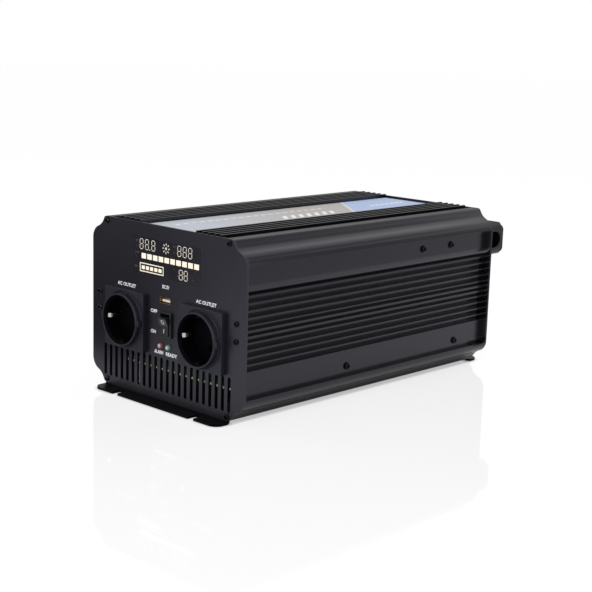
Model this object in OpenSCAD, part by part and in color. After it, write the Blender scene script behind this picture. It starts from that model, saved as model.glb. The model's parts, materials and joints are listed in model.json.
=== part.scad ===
// Power inverter: a finned two-part case closed by sheet-metal end panels.
// The front panel carries two mains sockets, a switch, a USB port, two lamps and a display.
// The rear panel carries a fan, two battery terminals with pull-off covers and an earth stud.
// X runs to the right seen from the front, Y to the rear and Z up. All sizes are in millimetres.
// The origin is on the ground, under the middle of the whole part.

/* [Case] */
// Width of the case and of both end panels
case_w = 189.6; // [186:0.2:200]
// Height of the case, from its floor to the top edge of the end panels
case_h = 144.4; // [142:0.2:150]
// Length of the two extrusions between the end panels
case_len = 312; // [308:1:400]
// Height of the case floor above the ground
floor_gap = 3.1; // [2.6:0.1:5]
// Thickness of the side walls behind the fins, and of the floor
wall = 3.6; // [3.2:0.1:4]
// Thickness of the roof under its deepest groove
roof_t = 3; // [2:0.1:4]
// Width of the tongue that locates one half of the case in the other
tongue_w = 1.2; // [0.8:0.1:1.6]
// Height of that tongue
tongue_h = 1.6; // [1:0.1:2]
// Clearance around the tongue
tongue_clear = 0.15; // [0.05:0.05:0.3]

/* [Case corners] */
// Radius of the rounding beside the roof
corner_top_r = 3.5; // [3:0.1:4]
// Radius of the hollow in the middle of a corner
corner_hollow_r = 14; // [13:0.5:15]
// Radius of the rounding beside the side wall
corner_side_r = 11.2; // [10.4:0.2:12]
// Distance of the hollow's centre in from the side face
hollow_in = 2.2; // [1.6:0.1:2.8]
// Distance of the hollow's centre above the roof line
hollow_up = 3.4; // [3:0.1:3.8]

/* [Side fins] */
// Thickness of the lip beside the parting line
lip_t = 2; // [1.6:0.1:2.4]
// Distance of the lip's middle from the parting line
lip_z = 2.3; // [2:0.1:2.5]
// Thickness of one fin
fin_t = 1.2; // [1:0.1:2]
// Distance from one fin to the next
fin_pitch = 5.8; // [5.3:0.1:5.9]
// Number of fins in each half of the case, on each side
fins = 5; // [3:1:5]
// Distance of the first fin from the parting line
fin_first = 6.9; // [6.6:0.1:7.4]
// Depth of the grooves between the fins
fin_depth = 6; // [5:0.5:6.5]
// Distance of the upper flat from the parting line
upper_flat_z = 39; // [38:0.1:40]
// Depth that the round brow under the upper flat reaches at the last fin
step_depth = 2.8; // [1:0.1:3]
// Height of the shadow groove's lower edge above the case floor
shadow_up = 19.4; // [19:0.1:19.8]
// Height of the shadow groove
shadow_h = 5.6; // [3.8:0.1:5.8]
// Depth of the shadow groove
shadow_depth = 5; // [3:0.5:6]

/* [Roof] */
// Number of ribs on each half of the roof
ribs = 5; // [3:1:5]
// Width of one rib
rib_w = 2.2; // [1.6:0.1:3]
// Distance from one rib to the next
rib_pitch = 6.8; // [6:0.1:6.9]
// Distance of the innermost rib from the middle of the roof
rib_first = 35; // [34:0.5:36]
// Height of the ribs above the top edge of the panels
rib_rise = 1.3; // [0.6:0.1:2]
// Half width of the trough that the ribs stand in
trough_half = 70.5; // [67:0.5:71]
// Depth of the trough below the top edge of the panels
trough_depth = 2; // [1:0.1:2.5]
// Extra depth of the groove at each edge of the trough
edge_groove = 2; // [1:0.1:2.5]
// Width of the roof label
label_w = 63; // [40:1:64]
// Thickness of the roof label
label_t = 0.3; // [0.2:0.1:0.6]
// Distance of the label from the ends of the case
label_end = 4; // [2:1:30]

/* [End panels] */
// Sheet thickness of the end panels
panel_t = 2; // [1.5:0.1:2.5]
// Length of the foot in front of its panel
foot_len = 13.5; // [13:0.1:18]
// Width of a foot
foot_w = 154; // [130:1:156]
// Radius of a foot's outer corners
foot_r = 8; // [2:0.5:9]
// Outer radius of the bend between panel and foot
bend_r = 3; // [2.7:0.1:3.6]
// Width of the open notches in a foot
notch_w = 6.6; // [4.5:0.1:7]
// Depth of the notches
notch_depth = 9.5; // [7:0.1:10]
// Distance between the two notches of a foot
notch_pitch = 95.4; // [70:0.2:110]
// Number of upright vent slots in the front panel
slots = 22; // [10:1:22]
// Width of a vent slot
slot_w = 3.6; // [2:0.1:4]
// Distance from one vent slot to the next
slot_pitch = 7.37; // [6:0.01:7.4]
// Gap between the vent slots and the socket plates above them
slot_gap = 0.6; // [0.4:0.1:8]
// Distance of the vent slots above the case floor
slot_up = 6.6; // [6:0.1:8]

/* [Screws] */
// Shank radius of the panel and board screws
small_r = 1.5; // [1.3:0.1:1.7]
// Shank radius of the side and fan screws
large_r = 2; // [1.8:0.1:2.1]
// Head radius as a multiple of the shank radius
head_ratio = 1.55; // [1.4:0.05:1.9]
// Head height as a multiple of the shank radius
head_rise = 1.1; // [0.8:0.05:1.3]
// Radial clearance of a screw in a plain hole
screw_clear = 0.2; // [0.1:0.05:0.3]
// Length of a panel screw's shank
panel_screw_len = 12; // [8:1:16]
// Distance of a corner screw in from the side face
corner_screw_in = 19.8; // [19.6:0.1:20.6]
// Distance of a corner screw below the roof line
corner_screw_down = 3.5; // [3.3:0.1:3.8]
// Distance of a side-wall panel screw in from the side face
wall_screw_in = 10.4; // [10.2:0.1:11.2]
// Distance of a side-wall panel screw from the parting line
wall_screw_z = 7.1; // [6.6:0.1:8]
// Radius of the channel around a side-wall panel screw
channel_r = 3.6; // [3.2:0.1:4]
// Places of the upper side screws, behind the front panel
upper_screw_y = [213.4, 253.1];
// Places of the lower side screws, behind the front panel
lower_screw_y = [118, 264.7];
// Distance of the upper side screws below the roof line
upper_screw_down = 26.2; // [25.4:0.1:27.4]
// Height of the lower side screws above the case floor
lower_screw_up = 28.8; // [28.6:0.1:29.6]
// Length of the fan screws behind the rear panel
fan_screw_len = 12; // [8:1:16]
// Length of the board screws
board_screw_len = 9.6; // [8:0.2:12]

/* [Sockets] */
// Distance of a socket's middle in from the side face
socket_in = 47.3; // [46.2:0.1:48.2]
// Distance of the sockets below the parting line
socket_down = 11.2; // [10:0.1:11.6]
// Width and height of a socket's plate
plate_w = 50; // [48:0.5:51]
// Corner radius of the plate
plate_r = 1.3; // [1:0.1:4]
// Height of the plate above the panel
plate_rise = 4.4; // [3:0.1:5]
// Depth of the ring-shaped moat in the plate
moat_depth = 1.2; // [1:0.1:2.8]
// Outer radius of the moat
moat_r = 23.8; // [23:0.1:24]
// Outer radius of the collar
collar_r = 22.1; // [21.6:0.05:22.4]
// Height of the collar above the panel
collar_rise = 10; // [7:0.1:10.4]
// Radius of the well
well_r = 19.6; // [19.4:0.05:19.7]
// Depth of the well
well_depth = 17.5; // [16.5:0.1:18]
// Thickness of the body behind the well
socket_floor = 13; // [12:0.5:15]
// Distance between the two line contacts
pin_pitch = 19; // [18.8:0.1:19.2]
// Radius of the holes for the line pins
pin_hole_r = 2.75; // [2.6:0.05:2.9]
// Bore radius of the line contacts
contact_r = 2.45; // [2.42:0.01:2.5]

/* [Display and USB] */
// Width of the display window
window_w = 83.6; // [70:0.2:86]
// Height of the display window
window_h = 30; // [26:0.2:32]
// Distance of the window's middle below the roof line
window_down = 27.4; // [26:0.1:28]
// Gap around the window in its cut-out
window_gap = 0.15; // [0.05:0.05:0.3]
// Width of the hidden rim that holds the window
rim_w = 3; // [2:0.1:3.4]
// Thickness of that rim
rim_t = 1.2; // [0.8:0.1:2]
// Distance of the front circuit board behind the face of the panel
front_board_y = 13; // [11:0.5:15]
// Thickness of all circuit boards
board_t = 1.6; // [1.2:0.1:2]
// Distance of the USB port above the parting line
usb_up = 12; // [11:0.1:13]
// Width of the USB shell
usb_w = 13.1; // [12.8:0.1:13.4]
// Height of the USB shell
usb_h = 5.8; // [5.6:0.1:6]
// Wall thickness of the USB shell
usb_t = 0.4; // [0.3:0.05:0.5]

/* [Switch and lamps] */
// Distance of the switch right of the middle
switch_x = 2.1; // [0:0.1:2.4]
// Distance of the switch below the parting line
switch_down = 7.9; // [7.6:0.1:8.6]
// Width of the switch bezel
bezel_w = 15; // [14.8:0.1:15.2]
// Height of the switch bezel
bezel_h = 21.5; // [21:0.1:22]
// Height of the bezel above the panel
bezel_rise = 2; // [1.5:0.1:2.5]
// Width of the rocker
rocker_w = 10.4; // [10:0.1:10.6]
// Half height of the rocker
rocker_half = 7.4; // [7:0.1:7.4]
// Angle of the rocker to either side of its middle
rocker_tilt = 11; // [8:0.5:11]
// Radius of the rocker's pivot pins
pivot_r = 1; // [0.8:0.05:1.1]
// Radial clearance of running fits
run_clear = 0.05; // [0.03:0.01:0.08]
// Distance between the two lamps
led_pitch = 9.7; // [8:0.1:12]
// Distance of the lamps below the parting line
led_down = 26.6; // [25.5:0.1:27]
// Radius of a lamp
led_r = 2.5; // [2.3:0.1:2.6]

/* [Fan] */
// Width and height of the fan
fan_w = 80; // [76:1:82]
// Depth of the fan
fan_depth = 25; // [23:1:28]
// Radius of the fan's duct
duct_r = 38; // [36:0.5:38]
// Distance between the fan's screw holes
fan_screw_pitch = 71.5; // [70:0.1:71.6]
// Height of the fan's middle above the parting line
fan_up = 5; // [0:1:8]
// Number of blades
blades = 7; // [5:1:9]
// Radius of the rotor's hub
hub_r = 17; // [15:0.5:18]
// Angle of the blades to the plane of the fan
blade_angle = 40; // [30:1:45]
// Thickness of a blade
blade_t = 1.8; // [1.4:0.1:2.2]
// Thickness of the guard
guard_t = 2; // [1.5:0.1:2.5]

/* [Battery terminals] */
// Distance of a terminal in from the side face
stud_in = 21; // [20.5:0.1:22]
// Distance of the terminals below the roof line
stud_down = 29.4; // [29:0.1:33]
// Radius of a stud
stud_r = 4; // [3.5:0.1:4.2]
// Length of a stud outside the rear panel
stud_out = 22; // [20:0.5:23]
// Width across the flats of a stud's nut
nut_af = 13; // [12:0.1:13.5]
// Thickness of a stud's nut
nut_t = 6.5; // [5:0.1:7]
// Width and height of the insulating bush
bush_w = 24.8; // [23:0.1:25]
// Thickness of the bush outside the panel
bush_t = 4; // [3:0.1:5]
// Width and height of a terminal cover
cover_w = 30; // [29.8:0.1:31]
// Length of a terminal cover
cover_len = 25.5; // [25.5:0.1:30]
// Wall thickness of a terminal cover
cover_t = 2.2; // [1.8:0.1:2.2]
// Edge radius of a terminal cover
cover_r = 6.6; // [3:0.1:7]
// Gap between a cover and the panel
cover_gap = 0.3; // [0.3:0.05:0.6]
// Width of the cable notch in a cover
cable_w = 15; // [12:0.2:16]
// Distance of the cable notch's round end from the panel
cable_depth = 21; // [18:0.2:22]

/* [Main board] */
// Height of the main board above the case floor's inner face
board_up = 13.7; // [13:0.1:22]
// Distance of the main board behind the front panel
board_front = 20; // [18:1:30]
// Distance of the main board in front of the rear panel
board_rear = 43; // [40:1:46]
// Gap between the main board and the clamp bars
board_gap = 1; // [0.5:0.1:2]
// Thickness of the clamp bars
bar_t = 7; // [6:0.5:8]
// Height of the clamp bars
bar_h = 30; // [28:1:32]
// Number of transistors on each side
transistors = 6; // [3:1:6]
// Number of transformers
transformers = 3; // [1:1:3]
// Number of fuses
fuse_count = 5; // [2:1:5]
// Width of one fuse
fuse_w = 6; // [5:0.5:8]
// Length of one fuse
fuse_len = 19; // [16:0.5:20]
// Height of one fuse
fuse_h = 14; // [12:0.5:20]
// Distance from one fuse to the next
fuse_pitch = 14; // [10:0.5:16]

/* [Hidden] */
$fn = 64;

// Extra length that carries a cut past the face it opens through
past = 1;
// Straight steps along each corner arc
arc_steps = 8;

half_w = case_w / 2;
half_h = case_h / 2;
mid_z = floor_gap + half_h;
top_z = floor_gap + case_h;

// Depth: the front foot, the panels and case, then the terminal covers or the rear foot.
body_len = case_len + 2 * panel_t;
overall_len = foot_len + body_len + max(cover_len, foot_len);
front_y = foot_len - overall_len / 2;
rear_y = front_y + body_len;
case_y = front_y + panel_t;
case_end_y = rear_y - panel_t;

// Corner arcs, measured from the middle of the case. Each arc is tangent to the next.
hollow_c = [half_w - hollow_in, half_h + hollow_up];
top_c = [hollow_c.x - sqrt(pow(corner_top_r + corner_hollow_r, 2) - pow(hollow_up + corner_top_r, 2)),
    half_h - corner_top_r];
side_c = [half_w - corner_side_r,
    hollow_c.y - sqrt(pow(corner_hollow_r + corner_side_r, 2) - pow(corner_side_r - hollow_in, 2))];
side_a = atan2(hollow_c.y - side_c.y, hollow_c.x - side_c.x);
top_a = atan2(hollow_c.y - top_c.y, hollow_c.x - top_c.x);

// Inside of the case, measured from its middle
cavity_half = half_w - fin_depth - wall;
corner_screw_x = half_w - corner_screw_in;
corner_screw_z = half_h - corner_screw_down;
screw_web = 2.3;
narrow_half = corner_screw_x - small_r - screw_web;
shoulder_up = 5;
shoulder_z = side_c.y + shoulder_up;
ceiling_z = half_h - trough_depth - edge_groove - roof_t;
floor_z = half_h - wall;
inner_floor = mid_z - floor_z;
wall_screw_x = half_w - wall_screw_in;
upper_screw_z = half_h - upper_screw_down;
lower_screw_z = half_h - lower_screw_up;
shadow_z = half_h - shadow_up - shadow_h;
tongue_x = cavity_half + wall / 2;

// Screw places seen from the front: [x, z]
panel_screw_places = [
    for (sx = [-1, 1], sz = [-1, 1]) each [
        [sx * corner_screw_x, mid_z + sz * corner_screw_z],
        [sx * wall_screw_x, mid_z + sz * wall_screw_z]
    ]
];

// Places of the parts on the front panel
socket_x = half_w - socket_in;
socket_z = mid_z - socket_down;
window_z = top_z - window_down;
usb_z = mid_z + usb_up;
usb_x = 0.6;
switch_z = mid_z - switch_down;
led_z = mid_z - led_down;
led_mid_x = 0.4;
slot_z = floor_gap + slot_up;
slot_h = socket_z - plate_w / 2 - slot_gap - slot_z;

// Sockets, measured outwards from the face of the panel
well_floor = collar_rise - well_depth;
socket_back = well_floor - socket_floor;
contact_t = 1;
contact_outer = contact_r + contact_t;
contact_len = 8;
contact_tail = 8;
socket_fit = 0.3;
mouth_rim = 0.9;
mouth_flare = collar_r - well_r - mouth_rim;
mouth_len = 3;
collar_rib_w = 5;
collar_rib_down = 1;
latch_w = 8;
latch_len = 6;
latch_out = 1.4;
latch_in = 1;
key_w = 4.4;
key_d = 3.4;
key_down = 2.4;
clip_w = 3.4;
clip_slot_w = 4.6;
clip_slot_d = 3.4;
clip_slot_down = 4;
clip_t = 0.7;
clip_bow = 2.5;
clip_wall = well_r + 1.3;
clip_tail = 4;
clip_tip = collar_rise - 5.2;
clip_root = well_floor + 3;

// Contact tabs behind the sockets and the switch
tab_w = 4.8;
tab_t = 0.8;
tab_len = 9;

// Front board
window_rim_z = -panel_t - rim_t;
front_board_top = window_h / 2 + 1.5;
front_board_half = window_w / 2 + rim_w + 6;
standoff_r = 2.2;
standoff_x = window_w / 2 + rim_w + standoff_r + 0.6;
standoff_z = window_h / 2 - 2;
usb_clear = 0.2;
usb_tongue_w = 11.1;
usb_tongue_t = 1.9;
usb_tongue_down = 0.75;
usb_tongue_base = 3.5;
led_fit = 0.1;

// Switch, measured outwards from the face of the panel
switch_play_w = 0.4;
switch_play_h = 1.6;
switch_open_w = rocker_w + 2 * switch_play_w;
switch_open_h = 2 * (rocker_half + switch_play_h);
switch_wall_w = 0.85;
switch_wall_h = 0.5;
switch_body_w = switch_open_w + 2 * switch_wall_w;
switch_body_h = switch_open_h + 2 * switch_wall_h;
switch_depth = 16;
switch_cavity = 7.5;
switch_fit = 0.1;
pivot_z = -2;
rocker_face = 3;
rocker_back = 2.5;

// Fan
fan_z = mid_z + fan_up;
fan_gap = 1;
fan_strut = 3;
motor_t = 6;
fan_bore = 1.5;

// Battery terminals, measured outwards from the rear panel
stud_x = half_w - stud_in;
stud_z = top_z - stud_down;
undercut = 0.6;
undercut_len = 1;
bush_wall = 4;
bush_hole_r = stud_r + bush_wall;
bush_fit = 0.1;
washer_t = 1.5;
inner_washer_t = 3;
bus_t = 3;
bus_z = -panel_t - inner_washer_t;
inner_nut_z = bus_z - bus_t;
bus_half = 7;
bus_w = 3.6 * bus_half;
bus_foot_x = stud_x - 2 * bus_half;
bus_mid_x = (stud_x + bus_foot_x) / 2;

// Earth stud on the rear panel, beside the foot of a bus bar
earth_r = 3;
earth_af = 10;
earth_gap = 4;
earth_x = -(bus_mid_x - bus_w / 2 - earth_gap - earth_af / 2 / cos(30));
earth_up = 24.2;
earth_z = floor_gap + earth_up;
earth_nut_t = 5;
earth_head_t = 4;
earth_out = 14;

// Main board and what stands on it
board_z = inner_floor + board_up;
board_top = board_z + board_t;
bar_x = cavity_half - bar_t;
board_half = bar_x - board_gap;
board_y = front_y + board_front;
board_len = rear_y - board_rear - board_y;
bar_end = 16;
bar_down = 6;
bar_y = front_y + lower_screw_y[0] - bar_end;
bar_len = lower_screw_y[1] - lower_screw_y[0] + 2 * bar_end;
bar_z = mid_z - lower_screw_z - bar_down;
screw_stop = 1.5;
post_r = 3;
post_in = 10.5;
post_x = board_half - post_in;
post_places = [for (sx = [-1, 1], f = [0.04, 0.48, 0.86]) [sx * post_x, board_y + f * board_len]];
rectifier_len = upper_screw_y[1] - upper_screw_y[0] + 2 * bar_end;

// Points along an arc after its first one
function arc(c, r, a0, a1) = [
    for (i = [1 : arc_steps]) let (a = a0 + (a1 - a0) * i / arc_steps) c + r * [cos(a), sin(a)]
];
function mirrored(p) = [for (i = [len(p) - 1 : -1 : 0]) [-p[i].x, p[i].y]];
function half_turned(p) = [for (q = p) -q];
function fin_z(i) = fin_first + i * fin_pitch;
function rib_x(i) = rib_first + i * rib_pitch;

corner = concat(
    [[half_w, side_c.y]],
    arc(side_c, corner_side_r, 0, side_a),
    arc(hollow_c, corner_hollow_r, side_a + 180, top_a + 180),
    arc(top_c, corner_top_r, top_a, 90)
);

// General shapes

// Extrudes a shape drawn in X and Z from y over the length t.
module slab(y, t) {
    translate([0, y + t, 0]) rotate([90, 0, 0]) linear_extrude(t) children();
}

// Extrudes a shape drawn in Y and Z over the width w, with its middle at x.
module across(x, w) {
    translate([x - w / 2, 0, 0]) rotate([90, 0, 90]) linear_extrude(w) children();
}

module rod_y(x, y, z, r, l) {
    translate([x, y, z]) rotate([-90, 0, 0]) cylinder(r = r, h = l);
}

module rod_x(x, y, z, r, l) {
    translate([x, y, z]) rotate([0, 90, 0]) cylinder(r = r, h = l);
}

// A block centred in X and Y that stands on the plane z.
module block(w, d, h, z = 0) {
    translate([-w / 2, -d / 2, z]) cube([w, d, h]);
}

module round_rect(w, h, r) {
    square([w, h - 2 * r], center = true);
    square([w - 2 * r, h], center = true);
    for (sx = [-1, 1], sy = [-1, 1]) translate([sx * (w / 2 - r), sy * (h / 2 - r)]) circle(r);
}

module upright_slot(w, h) {
    square([w, h - w], center = true);
    for (s = [-1, 1]) translate([0, s * (h - w) / 2]) circle(w / 2);
}

module hex(af, h) {
    cylinder(r = af / 2 / cos(30), h = h, $fn = 6);
}

// A pan-head screw with a cross recess. Its head stands on the plane z = 0.
module pan_screw(r, l) {
    head_r = head_ratio * r;
    head_h = head_rise * r;
    difference() {
        union() {
            cylinder(r = head_r, h = head_h / 2);
            translate([0, 0, head_h / 2]) cylinder(r1 = head_r, r2 = 0.6 * head_r, h = head_h / 2);
            translate([0, 0, -l]) cylinder(r = r, h = l);
        }
        for (a = [0, 90]) rotate(a) block(1.1 * head_r, 0.3 * head_r, head_h, 0.4 * head_h);
    }
}

// Sets a child on the front panel: its Z then points forwards, its Y up.
module on_front(x, z) {
    translate([x, front_y, z]) rotate([90, 0, 0]) children();
}

// Sets a child on the rear panel: its Z then points backwards, its Y up and its X to the left.
module on_rear(x, z) {
    translate([x, rear_y, z]) rotate([90, 0, 180]) children();
}

// Sets a child on a side wall at depth y: its Z then points out of the case.
module on_side(side, y, z) {
    translate([side * half_w, y, z]) rotate([0, side * 90, 0]) children();
}

// Case

module half_outline() {
    polygon(concat([[half_w, 0]], corner, mirrored(corner), [[-half_w, 0]]));
}

module panel_outline() {
    translate([0, mid_z])
        polygon(concat(corner, mirrored(corner), half_turned(corner), half_turned(mirrored(corner))));
}

// Grooves of the given depth in both sides, from z0 to z1.
module side_grooves(z0, z1, depth) {
    for (sx = [-1, 1])
        translate([sx * (half_w - depth / 2 + past / 2), (z0 + z1) / 2])
            square([depth + past, z1 - z0], center = true);
}

module fin_grooves() {
    side_grooves(-past, lip_z - lip_t / 2, fin_depth);
    side_grooves(lip_z + lip_t / 2, fin_first - fin_t / 2, fin_depth);
    for (i = [0 : fins - 2]) side_grooves(fin_z(i) + fin_t / 2, fin_z(i + 1) - fin_t / 2, fin_depth);
}

// The upper flats turn inwards on a round brow above the last fins.
module brows() {
    brow_z = fin_z(fins - 1) + fin_t / 2;
    drop = upper_flat_z - brow_z;
    r = (pow(drop, 2) + pow(step_depth, 2)) / (2 * step_depth);
    brow = concat(
        [[half_w + past, brow_z], [half_w + past, upper_flat_z], [half_w, upper_flat_z]],
        arc([half_w - r, upper_flat_z], r, 0, -asin(drop / r))
    );
    polygon(brow);
    polygon(mirrored(brow));
}

// The hollow inside one half of the case, with the screw channels left standing.
module cavity(depth) {
    difference() {
        union() {
            translate([-cavity_half, -past]) square([2 * cavity_half, shoulder_z + past]);
            translate([-narrow_half, -past]) square([2 * narrow_half, depth + past]);
        }
        for (sx = [-1, 1]) translate([sx * wall_screw_x, wall_screw_z]) circle(channel_r);
    }
}

module upper_profile() {
    rib_base = half_h - trough_depth;
    groove_in = rib_x(ribs - 1) + rib_w / 2;
    difference() {
        half_outline();
        fin_grooves();
        brows();
        cavity(ceiling_z);
        translate([-trough_half, rib_base]) square([2 * trough_half, trough_depth + past]);
        for (sx = [-1, 1]) {
            translate([sx * (groove_in + trough_half) / 2, rib_base])
                square([trough_half - groove_in, 2 * edge_groove], center = true);
            translate([sx * tongue_x, 0])
                square([tongue_w + 2 * tongue_clear, 2 * (tongue_h + tongue_clear)], center = true);
        }
    }
    for (sx = [-1, 1], i = [0 : ribs - 1])
        translate([sx * rib_x(i) - rib_w / 2, rib_base - past])
            square([rib_w, past + trough_depth + rib_rise]);
}

// Drawn upside down: its upper edge is the floor of the case.
module lower_profile() {
    difference() {
        half_outline();
        fin_grooves();
        side_grooves(shadow_z, shadow_z + shadow_h, shadow_depth);
        cavity(floor_z);
    }
    for (sx = [-1, 1])
        translate([sx * tongue_x, 0]) square([tongue_w, 2 * tongue_h], center = true);
}

// Threaded holes for the panel screws in both ends of one half of the case.
module end_holes(sz) {
    bite = panel_screw_len - panel_t;
    for (p = panel_screw_places)
        if (sz * (p[1] - mid_z) > 0)
            for (y = [case_y - past, case_end_y - bite]) rod_y(p[0], y, p[1], small_r, bite + past);
}

module side_holes(places, z) {
    for (sx = [-1, 1], y = places)
        rod_x(sx > 0 ? cavity_half - past : -half_w - past, front_y + y, z,
            large_r + screw_clear, half_w - cavity_half + 2 * past);
}

module case_upper() {
    color("#2c2c30") difference() {
        slab(case_y, case_len) translate([0, mid_z]) upper_profile();
        end_holes(1);
        side_holes(upper_screw_y, mid_z + upper_screw_z);
    }
}

module case_lower() {
    color("#2c2c30") difference() {
        slab(case_y, case_len) translate([0, mid_z]) mirror([0, 1]) lower_profile();
        end_holes(-1);
        side_holes(lower_screw_y, mid_z - lower_screw_z);
    }
}

module roof_label() {
    color("#a9a9ab")
        translate([0, (case_y + case_end_y) / 2, 0])
            block(label_w, case_len - 2 * label_end, label_t, top_z - trough_depth);
}

// End panels

// The bent foot in Y and Z. Y is measured from the face of the panel towards the case.
module foot_profile() {
    inner_r = bend_r - panel_t;
    bend_c = [panel_t - bend_r, bend_r];
    polygon(concat(
        [[panel_t, floor_gap + past], [panel_t, bend_r]],
        arc(bend_c, bend_r, 0, -90),
        [[-foot_len, 0], [-foot_len, panel_t], [bend_c.x, panel_t]],
        arc(bend_c, inner_r, -90, 0),
        [[0, floor_gap + past]]
    ));
}

// A panel with its foot. Y runs from its face at 0 towards the case.
module bent_panel() {
    difference() {
        union() {
            slab(0, panel_t) difference() {
                panel_outline();
                for (p = panel_screw_places) translate(p) circle(small_r + screw_clear);
                children();
            }
            intersection() {
                across(0, foot_w) foot_profile();
                translate([0, 0, -past]) linear_extrude(top_z) round_rect(foot_w, 2 * foot_len, foot_r);
            }
        }
        for (sx = [-1, 1]) translate([sx * notch_pitch / 2, -foot_len, -past]) {
            block(notch_w, 2 * (notch_depth - notch_w / 2), panel_t + 2 * past);
            translate([0, notch_depth - notch_w / 2, 0]) cylinder(d = notch_w, h = panel_t + 2 * past);
        }
    }
}

module front_openings() {
    translate([0, window_z]) square([window_w + 2 * window_gap, window_h + 2 * window_gap], center = true);
    translate([usb_x, usb_z]) square([usb_w + 2 * usb_clear, usb_h + 2 * usb_clear], center = true);
    translate([switch_x, switch_z])
        square([switch_body_w + 2 * switch_fit, switch_body_h + 2 * switch_fit], center = true);
    for (sx = [-1, 1]) {
        translate([sx * socket_x, socket_z]) circle(collar_r + socket_fit);
        translate([led_mid_x + sx * led_pitch / 2, led_z]) circle(led_r + led_fit);
    }
    for (i = [0 : slots - 1])
        translate([(i - (slots - 1) / 2) * slot_pitch, slot_z + slot_h / 2]) upright_slot(slot_w, slot_h);
}

module front_panel() {
    color("#2b2a30") translate([0, front_y, 0]) bent_panel() front_openings();
}

module rear_openings() {
    translate([0, fan_z]) {
        circle(duct_r);
        for (sx = [-1, 1], sz = [-1, 1])
            translate([sx, sz] * fan_screw_pitch / 2) circle(large_r + screw_clear);
    }
    for (sx = [-1, 1]) translate([sx * stud_x, stud_z]) circle(bush_hole_r);
    translate([earth_x, earth_z]) circle(earth_r + screw_clear);
}

module rear_panel() {
    color("#2b2a30") translate([0, rear_y, 0]) mirror([0, 1, 0]) bent_panel() rear_openings();
}

module front_screws() {
    color("#1c1c1e") for (p = panel_screw_places) on_front(p[0], p[1]) pan_screw(small_r, panel_screw_len);
}

module rear_screws() {
    color("#1c1c1e") for (p = panel_screw_places) on_rear(p[0], p[1]) pan_screw(small_r, panel_screw_len);
}

module side_screws() {
    screw_len = half_w - cavity_half + bar_t - screw_stop;
    color("#1c1c1e") for (side = [-1, 1]) {
        for (y = upper_screw_y) on_side(side, front_y + y, mid_z + upper_screw_z) pan_screw(large_r, screw_len);
        for (y = lower_screw_y) on_side(side, front_y + y, mid_z - lower_screw_z) pan_screw(large_r, screw_len);
    }
}

// Sockets

module socket_latch() {
    rotate([90, 0, 90]) linear_extrude(latch_w, center = true)
        polygon([
            [collar_r - latch_in, -panel_t], [collar_r + latch_out, -panel_t],
            [collar_r, -panel_t - latch_len], [collar_r - latch_in, -panel_t - latch_len]
        ]);
}

module socket_body() {
    color("#19191b") difference() {
        union() {
            linear_extrude(plate_rise - moat_depth) difference() {
                round_rect(plate_w, plate_w, plate_r);
                circle(well_r);
            }
            linear_extrude(plate_rise) difference() {
                round_rect(plate_w, plate_w, plate_r);
                circle(moat_r);
            }
            for (sx = [-1, 1]) translate([sx * (collar_r + moat_r) / 2, 0, 0])
                block(moat_r - collar_r + past, collar_rib_w, collar_rise - collar_rib_down);
            translate([0, 0, socket_back]) difference() {
                cylinder(r = collar_r, h = collar_rise - socket_back);
                translate([0, 0, well_floor - socket_back]) difference() {
                    cylinder(r = well_r, h = well_depth + past);
                    for (sy = [-1, 1]) translate([0, sy * well_r, 0]) block(key_w, key_d, well_depth - key_down);
                }
                translate([0, 0, collar_rise - mouth_len - socket_back])
                    cylinder(r1 = well_r, r2 = well_r + 2 * mouth_flare, h = 2 * mouth_len);
            }
            for (a = [0, 180]) rotate(a) socket_latch();
        }
        for (sy = [-1, 1]) translate([0, sy * pin_pitch / 2, 0]) {
            translate([0, 0, socket_back]) cylinder(r = pin_hole_r, h = socket_floor + past);
            translate([0, 0, socket_back - past]) cylinder(r = contact_outer, h = contact_len + past);
        }
        for (sx = [-1, 1]) translate([sx * (clip_wall - clip_slot_d / 2), 0, 0]) {
            block(clip_slot_d, clip_slot_w, collar_rise - clip_slot_down - well_floor, well_floor);
            block(clip_slot_d, clip_slot_w, socket_floor + 2 * past, socket_back - past);
        }
    }
}

// Two bowed leaves beside the well, with tails behind the socket.
module earth_clips() {
    half_span = (clip_tip - clip_root) / 2;
    r = (pow(half_span, 2) + pow(clip_bow, 2)) / (2 * clip_bow);
    reach = asin(half_span / r);
    c = [clip_wall - clip_bow + r, clip_root + half_span];
    tail_z = socket_back - clip_tail;
    leaf = concat(
        [[clip_wall, tail_z], [clip_wall, clip_root]],
        arc(c, r, 180 + reach, 180 - reach),
        [c + (r + clip_t) * [-cos(reach), sin(reach)]],
        arc(c, r + clip_t, 180 - reach, 180 + reach),
        [[clip_wall - clip_t, tail_z]]
    );
    color("#b9bbbd") for (a = [0, 180]) rotate(a)
        rotate([90, 0, 0]) linear_extrude(clip_w, center = true) polygon(leaf);
}

// Two tubes that take the line pins, each with a tail.
module line_contacts() {
    color("#c8a24a") for (sy = [-1, 1]) translate([0, sy * pin_pitch / 2, socket_back]) {
        difference() {
            cylinder(r = contact_outer, h = contact_len);
            translate([0, 0, contact_t]) cylinder(r = contact_r, h = contact_len);
        }
        block(tab_w, tab_t, contact_tail, -contact_tail);
    }
}

module socket_body_left() { on_front(-socket_x, socket_z) socket_body(); }
module socket_body_right() { on_front(socket_x, socket_z) socket_body(); }
module earth_clips_left() { on_front(-socket_x, socket_z) earth_clips(); }
module earth_clips_right() { on_front(socket_x, socket_z) earth_clips(); }
module line_contacts_left() { on_front(-socket_x, socket_z) line_contacts(); }
module line_contacts_right() { on_front(socket_x, socket_z) line_contacts(); }

// Display, USB port and front board

module display_window() {
    color("#111113") on_front(0, window_z) {
        block(window_w, window_h, panel_t, -panel_t);
        block(window_w + 2 * rim_w, window_h + 2 * rim_w, rim_t, window_rim_z);
    }
}

module display_module() {
    color("#1a1a1c") on_front(0, window_z)
        block(window_w, window_h, front_board_y + window_rim_z, -front_board_y);
}

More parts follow.
